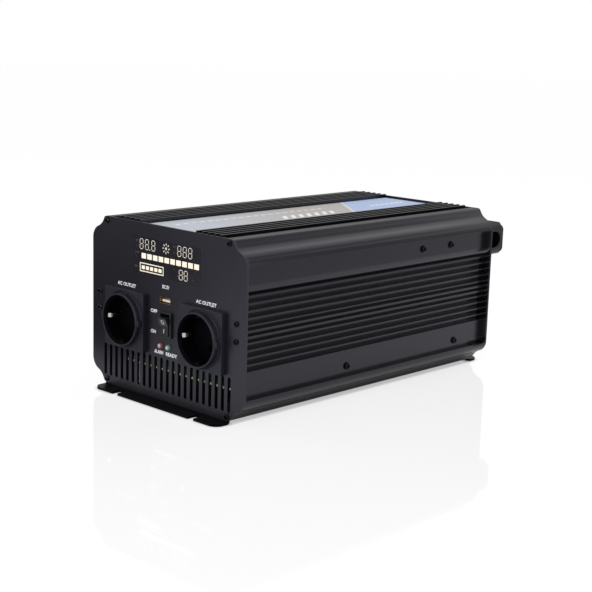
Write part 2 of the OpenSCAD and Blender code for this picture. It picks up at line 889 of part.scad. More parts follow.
module front_board() {
    arm_w = 26;
    arm_bottom = usb_z - usb_h / 2 - 3;
    plate_bottom = window_z - front_board_top - 4;
    color("#2f6b3c") on_front(0, 0) {
        translate([-front_board_half, plate_bottom, -front_board_y - board_t])
            cube([2 * front_board_half, window_z + front_board_top - plate_bottom, board_t]);
        translate([usb_x - arm_w / 2, arm_bottom, -front_board_y - board_t])
            cube([arm_w, plate_bottom - arm_bottom + past, board_t]);
    }
}

module front_standoffs() {
    color("#b0b2b4") for (sx = [-1, 1], sz = [-1, 1])
        on_front(sx * standoff_x, window_z + sz * standoff_z)
            translate([0, 0, -front_board_y]) cylinder(r = standoff_r, h = front_board_y - panel_t);
}

module usb_shell() {
    color("#b9bbbd") on_front(usb_x, usb_z) difference() {
        block(usb_w, usb_h, front_board_y + 0.4, -front_board_y);
        block(usb_w - 2 * usb_t, usb_h - 2 * usb_t, front_board_y + past, -front_board_y + usb_t);
    }
}

module usb_tongue() {
    base_z = -front_board_y + usb_t;
    color("#d8cfae") on_front(usb_x, usb_z) {
        block(usb_w - 2 * usb_t, usb_h - 2 * usb_t, usb_tongue_base, base_z);
        translate([0, -usb_tongue_down, 0]) block(usb_tongue_w, usb_tongue_t, front_board_y - 2, base_z);
    }
}

// Switch and lamps

module switch_body() {
    color("#161618") on_front(switch_x, switch_z) difference() {
        union() {
            linear_extrude(bezel_rise) round_rect(bezel_w, bezel_h, 1.2);
            block(switch_body_w, switch_body_h, switch_depth, -switch_depth);
        }
        block(switch_open_w, switch_open_h, switch_cavity + bezel_rise + past, -switch_cavity);
        translate([0, 0, pivot_z]) rotate([0, 90, 0])
            cylinder(r = pivot_r + run_clear, h = switch_body_w + 2 * past, center = true);
    }
}

// The rocker at rest stands with its upper end out: switched on.
module switch_rocker() {
    end_z = rocker_face + rocker_half * tan(rocker_tilt);
    color("#1d1d20") on_front(switch_x, switch_z) translate([0, 0, pivot_z]) rotate([rocker_tilt, 0, 0]) {
        rotate([90, 0, 90]) linear_extrude(rocker_w, center = true)
            polygon([
                [0, rocker_face - pivot_z], [-rocker_half, end_z - pivot_z], [-rocker_half, rocker_face],
                [-0.6 * rocker_half, -rocker_back], [0.6 * rocker_half, -rocker_back],
                [rocker_half, rocker_face], [rocker_half, end_z - pivot_z]
            ]);
        rotate([0, 90, 0]) cylinder(r = pivot_r, h = switch_body_w - 0.2, center = true);
    }
}

module switch_tabs() {
    color("#c8a24a") on_front(switch_x, switch_z)
        for (sy = [-1, 1]) translate([0, sy * 4, 0]) block(tab_w, tab_t, tab_len, -switch_depth - tab_len);
}

module led(tint) {
    color(tint) {
        translate([0, 0, -panel_t - 1.2]) cylinder(r = led_r + 0.6, h = 1.2);
        translate([0, 0, -panel_t]) cylinder(r = led_r, h = panel_t + 0.6);
        translate([0, 0, 0.6]) intersection() {
            sphere(led_r);
            cylinder(r = 2 * led_r, h = led_r);
        }
    }
}

module led_fault() { on_front(led_mid_x - led_pitch / 2, led_z) led("#c98d8d"); }
module led_power() { on_front(led_mid_x + led_pitch / 2, led_z) led("#9cc3a4"); }

// Fan: drawn with its axis along Z, which points into the case from the inner face of the rear panel.

module on_fan() {
    translate([0, case_end_y, fan_z]) rotate([90, 0, 0]) children();
}

module fan_frame() {
    color("#1b1b1d") on_fan() {
        difference() {
            linear_extrude(fan_depth) difference() {
                round_rect(fan_w, fan_w, 4);
                circle(duct_r);
                for (sx = [-1, 1], sy = [-1, 1]) translate([sx, sy] * fan_screw_pitch / 2) circle(large_r);
            }
        }
        translate([0, 0, fan_depth - fan_strut]) for (a = [30, 150, 270]) rotate(a)
            translate([hub_r - 2, -2, 0]) cube([duct_r - hub_r + 3, 4, fan_strut]);
        translate([0, 0, fan_depth - motor_t]) difference() {
            cylinder(r = hub_r - 1, h = motor_t);
            translate([0, 0, -past]) cylinder(r = fan_bore + run_clear, h = motor_t);
        }
    }
}

module fan_rotor() {
    rotor_h = fan_depth - motor_t - 2 * fan_gap;
    color("#232326") on_fan() {
        translate([0, 0, fan_gap]) cylinder(r = hub_r, h = rotor_h);
        translate([0, 0, fan_gap + rotor_h]) cylinder(r = fan_bore, h = motor_t - 0.5);
        intersection() {
            for (i = [0 : blades - 1]) rotate(i * 360 / blades)
                translate([duct_r / 2, 0, fan_gap + rotor_h / 2]) rotate([90 - blade_angle, 0, 0])
                    cube([duct_r, blade_t, 3 * fan_depth], center = true);
            translate([0, 0, fan_gap + 1]) difference() {
                cylinder(r = duct_r - fan_gap, h = rotor_h - 2);
                translate([0, 0, -past]) cylinder(r = hub_r - 1, h = rotor_h + 2 * past);
            }
        }
    }
}

module fan_guard() {
    ring_w = 2;
    arm = fan_screw_pitch / sqrt(2);
    ring_radii = [for (i = [1 : 4]) duct_r * i / 4 - ring_w / 2];
    color("#8d8f92") on_rear(0, fan_z) linear_extrude(guard_t) difference() {
        union() {
            for (r = ring_radii) difference() {
                circle(r + ring_w / 2);
                circle(r - ring_w / 2);
            }
            for (a = [45, 135, 225, 315]) rotate(a) {
                translate([ring_radii[0], -ring_w / 2]) square([arm - ring_radii[0], ring_w]);
                translate([arm, 0]) circle(head_ratio * large_r);
            }
        }
        for (sx = [-1, 1], sy = [-1, 1])
            translate([sx, sy] * fan_screw_pitch / 2) circle(large_r + screw_clear);
    }
}

module fan_screws() {
    color("#b0b2b4") for (sx = [-1, 1], sz = [-1, 1])
        on_rear(sx * fan_screw_pitch / 2, fan_z + sz * fan_screw_pitch / 2)
            translate([0, 0, guard_t]) pan_screw(large_r, guard_t + panel_t + fan_screw_len);
}

// Battery terminals: Z points out of the rear panel.

// The free end of a stud: an undercut beside its nut, the plain cylinder and a chamfered tip.
module stud_end(r, from, to) {
    translate([0, 0, from]) cylinder(r = r - undercut, h = undercut_len);
    translate([0, 0, from + undercut_len]) cylinder(r = r, h = to - from - undercut_len - undercut);
    translate([0, 0, to - undercut]) cylinder(r1 = r, r2 = r - undercut, h = undercut);
}

module stud() {
    inner_end = inner_nut_z - nut_t - washer_t;
    nut_end = bush_t + washer_t + nut_t;
    color("#c8a24a") {
        translate([0, 0, inner_end]) cylinder(r = stud_r, h = nut_end - inner_end);
        stud_end(stud_r, nut_end, stud_out);
    }
}

// The bush outside the panel and the insulating washer inside it, which bears on the panel.
module bush(tint) {
    sleeve = panel_t - 0.2;
    color(tint) {
        difference() {
            union() {
                linear_extrude(bush_t) round_rect(bush_w, bush_w, cover_r - cover_t);
                translate([0, 0, -sleeve]) cylinder(r = bush_hole_r - bush_fit, h = sleeve + past);
            }
            translate([0, 0, -sleeve - past]) cylinder(r = stud_r + screw_clear, h = bush_t + sleeve + 2 * past);
        }
        translate([0, 0, bus_z]) difference() {
            cylinder(r = bush_hole_r + 3, h = inner_washer_t);
            translate([0, 0, -past]) cylinder(r = stud_r + screw_clear, h = inner_washer_t + 2 * past);
        }
    }
}

module threaded_nut(af, r, t) {
    difference() {
        hex(af, t);
        translate([0, 0, -past]) cylinder(r = r, h = t + 2 * past);
    }
}

// A flanged nut outside the bush and a plain nut inside the bus bar, on each stud.
module stud_nuts() {
    color("#b9bbbd") for (sx = [-1, 1]) on_rear(sx * stud_x, stud_z) {
        translate([0, 0, bush_t]) difference() {
            cylinder(r = 2 * stud_r, h = washer_t);
            translate([0, 0, -past]) cylinder(r = stud_r + screw_clear, h = washer_t + 2 * past);
        }
        translate([0, 0, bush_t + washer_t]) threaded_nut(nut_af, stud_r, nut_t);
        translate([0, 0, inner_nut_z - nut_t]) threaded_nut(nut_af, stud_r, nut_t);
    }
}

// Two upright copper bars from the studs down to the main board.
module bus_bars() {
    overlap = 17;
    lug_w = 1.6 * bus_half;
    lug_len = board_rear + overlap;
    bar_top = stud_z + 1.3 * bus_half;
    color("#b87a4b") for (sx = [-1, 1]) {
        difference() {
            translate([sx * bus_mid_x - bus_w / 2, rear_y + inner_nut_z, board_top])
                cube([bus_w, bus_t, bar_top - board_top]);
            rod_y(sx * stud_x, rear_y + inner_nut_z - past, stud_z, stud_r + screw_clear, bus_t + 2 * past);
        }
        translate([sx * bus_foot_x - lug_w / 2, rear_y - lug_len, board_top])
            cube([lug_w, lug_len + inner_nut_z + bus_t, bus_t]);
    }
}

// Square shape that is rounded at its far corners.
module round_end(w, l, r) {
    translate([-w / 2, 0]) square([w, l - r]);
    translate([-w / 2 + r, 0]) square([w - 2 * r, l]);
    for (s = [-1, 1]) translate([s * (w / 2 - r), l - r]) circle(r);
}

// A block on Z = 0 with its upright edges and its far edges rounded.
module boot(w, l, r) {
    intersection() {
        linear_extrude(l) round_rect(w, w, r);
        for (a = [0, 90]) rotate([90, 0, a]) linear_extrude(w + past, center = true) round_end(w, l, r);
    }
}

// A boot over the stud. Its cable notch opens towards the panel, on the side that faces +X here.
module cover(tint) {
    color(tint) difference() {
        boot(cover_w, cover_len, cover_r);
        block(cover_w + past, cover_w + past, cover_gap + past, -past);
        boot(cover_w - 2 * cover_t, cover_len - cover_t, cover_r - cover_t);
        translate([0, -cable_w / 2, 0]) cube([cover_w, cable_w, cable_depth - cable_w / 2]);
        translate([0, 0, cable_depth - cable_w / 2]) rotate([0, 90, 0]) cylinder(d = cable_w, h = cover_w);
    }
}

module stud_neg() { on_rear(stud_x, stud_z) stud(); }
module stud_pos() { on_rear(-stud_x, stud_z) stud(); }
module bush_neg() { on_rear(stud_x, stud_z) bush("#161618"); }
module bush_pos() { on_rear(-stud_x, stud_z) bush("#9c1f1f"); }
module cover_neg() { on_rear(stud_x, stud_z) mirror([1, 0, 0]) cover("#151517"); }
module cover_pos() { on_rear(-stud_x, stud_z) cover("#9c1f1f"); }

module earth_stud() {
    color("#c8a24a") on_rear(earth_x, earth_z) {
        translate([0, 0, -panel_t - earth_head_t]) hex(earth_af, earth_head_t);
        translate([0, 0, -panel_t]) cylinder(r = earth_r, h = panel_t + earth_nut_t);
        stud_end(earth_r, earth_nut_t, earth_out);
    }
}

module earth_nut() {
    color("#b9bbbd") on_rear(earth_x, earth_z) threaded_nut(earth_af, earth_r, earth_nut_t);
}

// Inside of the case

module main_board() {
    color("#2f6b3c") difference() {
        translate([0, board_y + board_len / 2, 0]) block(2 * board_half, board_len, board_t, board_z);
        for (p = post_places) translate([p[0], p[1], board_z - past])
            cylinder(r = small_r + screw_clear, h = board_t + 2 * past);
    }
}

module board_posts() {
    color("#b0b2b4") for (p = post_places) translate([p[0], p[1], inner_floor]) difference() {
        cylinder(r = post_r, h = board_up);
        translate([0, 0, board_up + board_t - board_screw_len]) cylinder(r = small_r, h = board_screw_len);
    }
}

module board_screws() {
    color("#b0b2b4") for (p = post_places) translate([p[0], p[1], board_top]) pan_screw(small_r, board_screw_len);
}

core_w = 48;
core_d = 26;
core_h = 44;
core_leg = 8;
core_window = 10;
first_core_y = 88;
core_pitch = 58;

module on_core(i) {
    translate([0, front_y + first_core_y + i * core_pitch, board_top]) children();
}

module transformer_cores() {
    color("#3b3b3d") for (i = [0 : transformers - 1]) on_core(i) difference() {
        block(core_w, core_d, core_h);
        for (sx = [-1, 1]) translate([sx * (core_leg + core_window / 2), 0, 0])
            block(core_window, core_d + 2 * past, core_h - 2 * core_leg, core_leg);
    }
}

module transformer_windings() {
    winding_h = core_h - 2 * core_leg - 0.4;
    color("#c9a227") for (i = [0 : transformers - 1]) on_core(i) difference() {
        block(2 * (core_leg + core_window) - 0.6, core_d + 2 * core_window, winding_h, core_leg);
        block(2 * core_leg, core_d, winding_h + 2 * past, core_leg - past);
    }
}

// Pairs of large cans beside the transformers and one small can behind the vent slots
can_x = 42;
can_r = 12.5;
can_h = 45;
small_can = [13, 41];
small_can_r = 9;
small_can_h = 36;

module capacitors() {
    color("#3a5fa8") {
        for (sx = [-1, 1], i = [0 : transformers - 1])
            on_core(i) translate([sx * can_x, 0, 0]) cylinder(r = can_r, h = can_h);
        translate([small_can.x, front_y + small_can.y, board_top]) cylinder(r = small_can_r, h = small_can_h);
    }
}

// A small white connector behind the vent slots
plug_place = [-22, 35];
plug_size = [6, 5, 8];

module board_plug() {
    color("#d9d6cc") translate([plug_place.x, front_y + plug_place.y, board_top])
        block(plug_size.x, plug_size.y, plug_size.z);
}

module output_choke() {
    ring_r = 11;
    wire_r = 6;
    color("#d9d6cc") translate([-48, front_y + 56, board_top + wire_r])
        rotate_extrude() translate([ring_r, 0]) circle(wire_r);
}

module clamp_bars() {
    color("#a9abae") difference() {
        for (sx = [-1, 1]) translate([sx > 0 ? bar_x : -cavity_half, bar_y, bar_z]) cube([bar_t, bar_len, bar_h]);
        for (sx = [-1, 1], y = lower_screw_y)
            rod_x(sx > 0 ? bar_x + 1 : -cavity_half - past, front_y + y, mid_z - lower_screw_z, large_r, bar_t - 1 + past);
    }
}

module transistor_rows() {
    body_w = 16;
    body_t = 5;
    body_h = 20;
    leg_h = 5;
    pitch = 21;
    color("#1f1f22") for (sx = [-1, 1], i = [0 : transistors - 1])
        translate([sx * (bar_x - body_t / 2), bar_y + 14 + i * pitch, board_top]) {
            block(body_t, body_w, body_h, leg_h);
            for (k = [-1 : 1]) translate([0, 5.4 * k, 0]) block(0.6, 1.2, leg_h);
        }
}

module rectifiers() {
    depth = 18;
    height = 17;
    color("#1f1f22") difference() {
        for (sx = [-1, 1])
            translate([sx > 0 ? cavity_half - depth : -cavity_half, front_y + upper_screw_y[0] - bar_end,
                mid_z + shoulder_z - 0.8 - height])
                cube([depth, rectifier_len, height]);
        for (sx = [-1, 1], y = upper_screw_y)
            rod_x(sx > 0 ? cavity_half - depth / 2 : -cavity_half - past, front_y + y, mid_z + upper_screw_z,
                large_r, depth / 2 + past);
    }
}

module fuse_row() {
    row_y = rear_y - board_rear - 14;
    color("#c98a2b") for (i = [0 : fuse_count - 1])
        translate([(i - (fuse_count - 1) / 2) * fuse_pitch, row_y, board_top]) block(fuse_w, fuse_len, fuse_h);
}

case_upper();
case_lower();
front_panel();
rear_panel();
front_screws();
rear_screws();
side_screws();
roof_label();
socket_body_left();
socket_body_right();
earth_clips_left();
earth_clips_right();
line_contacts_left();
line_contacts_right();
display_window();
display_module();
front_board();
front_standoffs();
usb_shell();
usb_tongue();
switch_body();
switch_rocker();
switch_tabs();
led_fault();
led_power();
fan_frame();
fan_rotor();
fan_guard();
fan_screws();
stud_neg();
stud_pos();
bush_neg();
bush_pos();
stud_nuts();
bus_bars();
cover_neg();
cover_pos();
earth_stud();
earth_nut();
main_board();
board_posts();
board_screws();
transformer_cores();
transformer_windings();
capacitors();
board_plug();
output_choke();
clamp_bars();
transistor_rows();
rectifiers();
fuse_row();
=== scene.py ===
# %% [markdown]
# # Dressing a power inverter
# The construction is already there: fifty-one named parts, packed as one frame that never moves
# here. This lesson gives every solid its finish, adds what only the eye needs (print, display
# segments and signs), and sets up the studio.
# Everything is in metres, in the frame of the construction: X right, Y to the rear, Z up.

# %% Load the frame
import json
import math

import bmesh
import bpy
from mathutils import Matrix, Vector


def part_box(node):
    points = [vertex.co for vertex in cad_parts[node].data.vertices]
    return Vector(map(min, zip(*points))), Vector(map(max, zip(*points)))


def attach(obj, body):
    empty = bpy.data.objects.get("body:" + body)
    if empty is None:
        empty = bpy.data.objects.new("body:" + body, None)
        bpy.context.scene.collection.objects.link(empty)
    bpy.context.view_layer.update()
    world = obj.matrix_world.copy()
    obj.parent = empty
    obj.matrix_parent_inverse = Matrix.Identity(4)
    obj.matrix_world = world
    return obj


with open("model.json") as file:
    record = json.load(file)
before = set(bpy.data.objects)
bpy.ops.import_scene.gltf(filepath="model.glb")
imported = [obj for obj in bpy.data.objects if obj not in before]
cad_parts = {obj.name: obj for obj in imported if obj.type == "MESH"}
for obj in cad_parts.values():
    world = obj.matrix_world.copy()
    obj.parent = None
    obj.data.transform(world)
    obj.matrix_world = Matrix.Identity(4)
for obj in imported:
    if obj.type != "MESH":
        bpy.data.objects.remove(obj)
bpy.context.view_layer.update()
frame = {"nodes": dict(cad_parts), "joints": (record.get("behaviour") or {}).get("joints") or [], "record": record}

MM = 0.001
loaded_materials = len(bpy.data.materials)

# %% [markdown]
# ## Where things are
# A piece that is added later has to sit on the solid that carries it. Its place could be typed
# in, but it would be wrong after any change of the construction. So the places are read from the
# solids' own boxes, and only sizes that the solids don't have are typed in.

# %% Read the places from the solids


def middle(node):
    """The middle of a solid's box."""
    low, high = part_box(node)
    return (low + high) / 2


panel_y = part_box("display_window")[0].y
window = middle("display_window")
label_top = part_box("roof_label")[1].z
joint_places = {joint["name"]: Vector(joint["pos_m"]) for joint in frame["joints"] if "pos_m" in joint}
rocker_pivot = joint_places["power_rocker"]
print("panel face at y =", round(panel_y / MM, 2), "mm, window at z =", round(window.z / MM, 2), "mm")

# %% [markdown]
# ## Colour and nodes
# Colours are given as sRGB hex values, but the renderer counts in linear light, so one
# function turns the one into the other. Another adds a node to a material: it takes the node's
# settings and, for each socket, either a constant or another node's output. One function for
# all kinds of node is enough, because the nodes' own names already say what they do.

# %% Helpers for colours and nodes

# The Mix node repeats its sockets for each kind of data. These are the numbers of its colour sockets.
MIX_FACTOR = 0
MIX_A = 6
MIX_B = 7
MIX_RESULT = 2


def linear(hex_colour):
    """An sRGB colour such as #a0b1c2 as linear red, green, blue and alpha."""
    parts = [int(hex_colour[i:i + 2], 16) / 255 for i in (1, 3, 5)]
    return [p / 12.92 if p <= 0.04045 else ((p + 0.055) / 1.055) ** 2.4 for p in parts] + [1.0]


def fill_sockets(tree, node, inputs):
    """Links a node's sockets to other nodes' outputs, or sets them to constants."""
    for name, value in inputs.items():
        if isinstance(value, bpy.types.NodeSocket):
            tree.links.new(value, node.inputs[name])
        else:
            node.inputs[name].default_value = value


def add_node(tree, kind, settings=None, inputs=None):
    """A new node with its settings made and its sockets filled."""
    made = tree.nodes.new(kind)
    for name, value in (settings or {}).items():
        setattr(made, name, value)
    fill_sockets(tree, made, inputs or {})
    return made


def bare_material(name):
    """A material with an empty node tree."""
    made = bpy.data.materials.new(name)
    made.use_nodes = True
    made.node_tree.nodes.clear()
    return made, made.node_tree


def new_material(name):
    """A material with one shader, and the object's own coordinates in metres."""
    made, tree = bare_material(name)
    shader = add_node(tree, "ShaderNodeBsdfPrincipled")
    add_node(tree, "ShaderNodeOutputMaterial", inputs={"Surface": shader.outputs["BSDF"]})
    place = add_node(tree, "ShaderNodeTexCoord").outputs["Object"]
    return made, tree, shader, place


print("middle grey:", [round(c, 3) for c in linear("#808080")])

# %% [markdown]
# ## Moulded plastic
# The switch, the fan, the covers and the component packages are moulded, and each takes the
# spark-eroded grain of its mould. A picture of such a grain could be wrapped round a part, but a
# noise in the part's own space needs no unwrapping and has its size in real millimetres. It drives
# the roughness and a small bump, and a broader noise drifts the colour, because no real surface is
# one flat colour. The plastics differ in colour, gloss and grain, so one function makes them all.

# %% Moulded plastic


def moulded_plastic(name, dark, light, roughness, grain_mm, bump_mm=0.02, edge_mm=0.2, ior=1.5):
    """Injection-moulded plastic: two close shades, an even gloss, the mould's grain and soft edges."""
    made, tree, shader, place = new_material(name)
    flow_mm = 25
    spread = 0.06
    grain = add_node(tree, "ShaderNodeTexNoise",
                     inputs={"Vector": place, "Scale": 1 / (grain_mm * MM), "Detail": 3.0})
    flow = add_node(tree, "ShaderNodeTexNoise",
                    inputs={"Vector": place, "Scale": 1 / (flow_mm * MM), "Detail": 2.0})
    shade = add_node(tree, "ShaderNodeMix", {"data_type": "RGBA"},
                     {MIX_FACTOR: flow.outputs[0], MIX_A: linear(dark), MIX_B: linear(light)})
    gloss = add_node(tree, "ShaderNodeMapRange",
                     inputs={"Value": grain.outputs[0],
                             "To Min": roughness - spread, "To Max": roughness + spread})
    edge = add_node(tree, "ShaderNodeBevel", {"samples": 4}, {"Radius": edge_mm * MM})
    bump = add_node(tree, "ShaderNodeBump",
                    inputs={"Height": grain.outputs[0], "Distance": bump_mm * MM, "Strength": 0.5,
                            "Normal": edge.outputs["Normal"]})
    fill_sockets(tree, shader, {"Base Color": shade.outputs[MIX_RESULT],
                                "Roughness": gloss.outputs["Result"],
                                "Normal": bump.outputs["Normal"], "IOR": ior})
    return made


# The switch is moulded in a polished tool, so it is glossier.
switch_polyamide = moulded_plastic("polyamide_moulded_gloss_black", "#151517", "#1d1d20", 0.3, 0.8,
                                   bump_mm=0.008)
# Glass-filled polyester for the fan: duller, and a little grey from the glass at the surface.
fan_polyester = moulded_plastic("polyester_glass_filled_black", "#141416", "#232326", 0.5, 0.9)
# Soft vinyl for the terminal covers and bushes: waxy, with well rounded edges and a weak mirror.
vinyl_black = moulded_plastic("vinyl_moulded_soft_black", "#0b0b0d", "#131315", 0.44, 1.2,
                              edge_mm=1.5, ior=1.38)
vinyl_red = moulded_plastic("vinyl_moulded_soft_red", "#8c1418", "#b0242a", 0.44, 1.2,
                            edge_mm=1.5, ior=1.38)
# Liquid-crystal polymer for the tongue of the port: ivory, almost without grain.
tongue_polymer = moulded_plastic("liquid_crystal_polymer_ivory", "#efe6cf", "#fbf6e6", 0.4, 0.8,
                                 bump_mm=0.006)
# Potting epoxy and moulded component packages: dull charcoal.
package_epoxy = moulded_plastic("epoxy_moulded_charcoal", "#1c1c1f", "#27272a", 0.55, 0.5)
display_epoxy = moulded_plastic("epoxy_potted_black", "#101012", "#17171a", 0.5, 0.8)
# Nylon for the plug on the board and the tape of the choke: plain white.
nylon_white = moulded_plastic("nylon_moulded_white", "#d8d5cb", "#e8e5dc", 0.45, 0.8)
print("plastics:", len(bpy.data.materials) - loaded_materials)

# %% [markdown]
# ## The sockets' plastic
# The sockets are dull black polyamide. Inside a well the colour is painted near black as shade,
# and its mirror is almost taken away, while the rim and plate keep a dull sheen. The foot of the
# collar is blended softly into the plate. Three materials on split meshes could do this, but the
# meshes stay as they are, so the zones are told by the distance from the socket's axis. The sockets
# stand symmetrically, so the sign of X is dropped and one axis serves both.

# %% Socket polyamide


def socket_plastic(name, dark, light):
    """Dull black polyamide with wells painted near black as shade, and softly blended collars."""
    made, tree, shader, place = new_material(name)
    well_r = 21.0 * MM
    collar_r = 23.1 * MM
    collar_half = 1.1 * MM
    plate_edge = 0.5 * MM
    collar_edge = 3.5 * MM
    grain_mm = 0.6
    axis = middle("socket_body_right")
    folded = add_node(tree, "ShaderNodeVectorMath", {"operation": "ABSOLUTE"}, {0: place})
    offset = add_node(tree, "ShaderNodeVectorMath", {"operation": "SUBTRACT"},
                      {0: folded.outputs["Vector"], 1: axis})
    on_panel = add_node(tree, "ShaderNodeVectorMath", {"operation": "MULTIPLY"},
                        {0: offset.outputs["Vector"], 1: (1, 0, 1)})
    radius = add_node(tree, "ShaderNodeVectorMath", {"operation": "LENGTH"},
                      {0: on_panel.outputs["Vector"]})
    in_shaded_well = add_node(tree, "ShaderNodeMath", {"operation": "LESS_THAN"},
                       {0: radius.outputs["Value"], 1: well_r})
    on_collar = add_node(tree, "ShaderNodeMath", {"operation": "COMPARE"},
                         {0: radius.outputs["Value"], 1: collar_r, 2: collar_half})
    grain = add_node(tree, "ShaderNodeTexNoise",
                     inputs={"Vector": place, "Scale": 1 / (grain_mm * MM), "Detail": 3.0})
    shade = add_node(tree, "ShaderNodeMix", {"data_type": "RGBA"},
                     {MIX_FACTOR: grain.outputs[0], MIX_A: linear(dark), MIX_B: linear(light)})
    # Inside the well the colour is painted near black: painted shade for the recess.
    colour = add_node(tree, "ShaderNodeMix", {"data_type": "RGBA"},
                      {MIX_FACTOR: in_shaded_well.outputs["Value"], MIX_A: shade.outputs[MIX_RESULT],
                       MIX_B: linear("#070709")})
    sheen = add_node(tree, "ShaderNodeMapRange",
                     inputs={"Value": in_shaded_well.outputs["Value"], "To Min": 0.5, "To Max": 0.04})
    blend = add_node(tree, "ShaderNodeMapRange",
                     inputs={"Value": on_collar.outputs["Value"],
                             "To Min": plate_edge, "To Max": collar_edge})
    edge = add_node(tree, "ShaderNodeBevel", {"samples": 8}, {"Radius": blend.outputs["Result"]})
    bump = add_node(tree, "ShaderNodeBump",
                    inputs={"Height": grain.outputs[0], "Distance": 0.02 * MM, "Strength": 0.5,
                            "Normal": edge.outputs["Normal"]})
    fill_sockets(tree, shader, {"Base Color": colour.outputs[MIX_RESULT], "Normal": bump.outputs["Normal"],
                                "Specular IOR Level": sheen.outputs["Result"], "Roughness": 0.5,
                                "Specular Tint": linear("#e4e0fb")})
    return made


socket_polyamide = socket_plastic("polyamide_moulded_dull_black", "#131218", "#19181f")
print("sockets:", socket_polyamide.name)

# %% [markdown]
# ## Plated and bare metal
# Screws, studs, clips, contacts and the fan's guard are metal, most of it plated. Scratches could be
# drawn one by one, but from here plating shows only as a fine scatter. So a metallic shader is
# enough, whose colour and roughness wander a little with the plating's grain.

# %% Plated and bare metal


def metal(name, dark, light, roughness, grain_mm):
    """Plated or bare metal: a metallic shader whose roughness wanders with the plating's grain."""
    made, tree, shader, place = new_material(name)
    spread = 0.08
    grain = add_node(tree, "ShaderNodeTexNoise",
                     inputs={"Vector": place, "Scale": 1 / (grain_mm * MM), "Detail": 4.0})
    shade = add_node(tree, "ShaderNodeMix", {"data_type": "RGBA"},
                     {MIX_FACTOR: grain.outputs[0], MIX_A: linear(dark), MIX_B: linear(light)})
    gloss = add_node(tree, "ShaderNodeMapRange",
                     inputs={"Value": grain.outputs[0],
                             "To Min": roughness - spread, "To Max": roughness + spread})
    bump = add_node(tree, "ShaderNodeBump",
                    inputs={"Height": grain.outputs[0], "Distance": 0.01 * MM, "Strength": 0.3})
    fill_sockets(tree, shader, {"Base Color": shade.outputs[MIX_RESULT],
                                "Roughness": gloss.outputs["Result"],
                                "Normal": bump.outputs["Normal"], "Metallic": 1.0})
    return made


# Zinc plating is bright with a faint blue, nickel is warmer, and both are satin at this size.
zinc_steel = metal("steel_zinc_plated", "#a4a6ab", "#c4c6ca", 0.32, 1.5)
nickel_steel = metal("spring_steel_nickel_plated", "#b3b0aa", "#d6d2ca", 0.26, 1.2)
chrome_wire = metal("steel_wire_chromed", "#b4b6b9", "#d5d6d8", 0.2, 1.5)
turned_brass = metal("brass_turned", "#b08a3c", "#d3b067", 0.3, 1.0)
rolled_copper = metal("copper_rolled", "#a9643c", "#c9855c", 0.34, 2.0)
mill_aluminium = metal("aluminium_mill_finish", "#9a9ca0", "#b9bbbe", 0.4, 2.5)
# The black zinc of the case screws hides most of the metal's colour.
black_zinc = metal("steel_black_zinc", "#141416", "#242427", 0.26, 0.9)
# The port's shell is phosphor bronze that has gone brown.
port_bronze = metal("phosphor_bronze_brown", "#86664f", "#a98468", 0.34, 0.8)
print("finishes so far:", len(bpy.data.materials) - loaded_materials)

# %% [markdown]
# ## The anodised case
# Both halves of the case are aluminium extrusions, dyed black while anodised and then sealed.
# The dyed skin swallows nearly all light, and its smooth seal mirrors a few percent of the studio,
# so the case is drawn by reflections: the flats show the floor, the grooves stay black. A metallic
# shader would mirror far too much, so this is a black body under a clear gloss.
# The die leaves fine lines along the length, so the noise is stretched fifty to one along Y.
# The lines are really about 0.1 mm apart. They are drawn 0.8 mm apart, as fine as the picture
# can show. A bevel in the shader rounds the edges by a third of a millimetre, as deburring does.

# %% Black anodised extrusion


def anodised_extrusion(name, dark, light):
    """Black anodised aluminium with die lines along Y and softened edges."""
    made, tree, shader, place = new_material(name)
    line_gap = 0.8 * MM
    line_length = 40 * MM
    cloud_mm = 60
    stretched = add_node(tree, "ShaderNodeMapping",
                         inputs={"Vector": place, "Scale": (1 / line_gap, 1 / line_length, 1 / line_gap)})
    lines = add_node(tree, "ShaderNodeTexNoise",
                     inputs={"Vector": stretched.outputs["Vector"], "Scale": 1.0, "Detail": 2.0})
    cloud = add_node(tree, "ShaderNodeTexNoise",
                     inputs={"Vector": place, "Scale": 1 / (cloud_mm * MM), "Detail": 2.0})
    shade = add_node(tree, "ShaderNodeMix", {"data_type": "RGBA"},
                     {MIX_FACTOR: cloud.outputs[0], MIX_A: linear(dark), MIX_B: linear(light)})
    gloss = add_node(tree, "ShaderNodeMapRange",
                     inputs={"Value": lines.outputs[0], "To Min": 0.15, "To Max": 0.25})
    edge = add_node(tree, "ShaderNodeBevel", {"samples": 4}, {"Radius": 0.35 * MM})
    bump = add_node(tree, "ShaderNodeBump",
                    inputs={"Height": lines.outputs[0], "Distance": 0.006 * MM, "Strength": 0.4,
                            "Normal": edge.outputs["Normal"]})
    fill_sockets(tree, shader, {"Base Color": shade.outputs[MIX_RESULT],
                                "Roughness": gloss.outputs["Result"],
                                "Normal": bump.outputs["Normal"], "IOR": 1.5,
                                "Specular Tint": linear("#eaeaff")})
    return made


anodised_black = anodised_extrusion("aluminium_anodised_black", "#0b0b0c", "#111113")
print("case:", anodised_black.name)
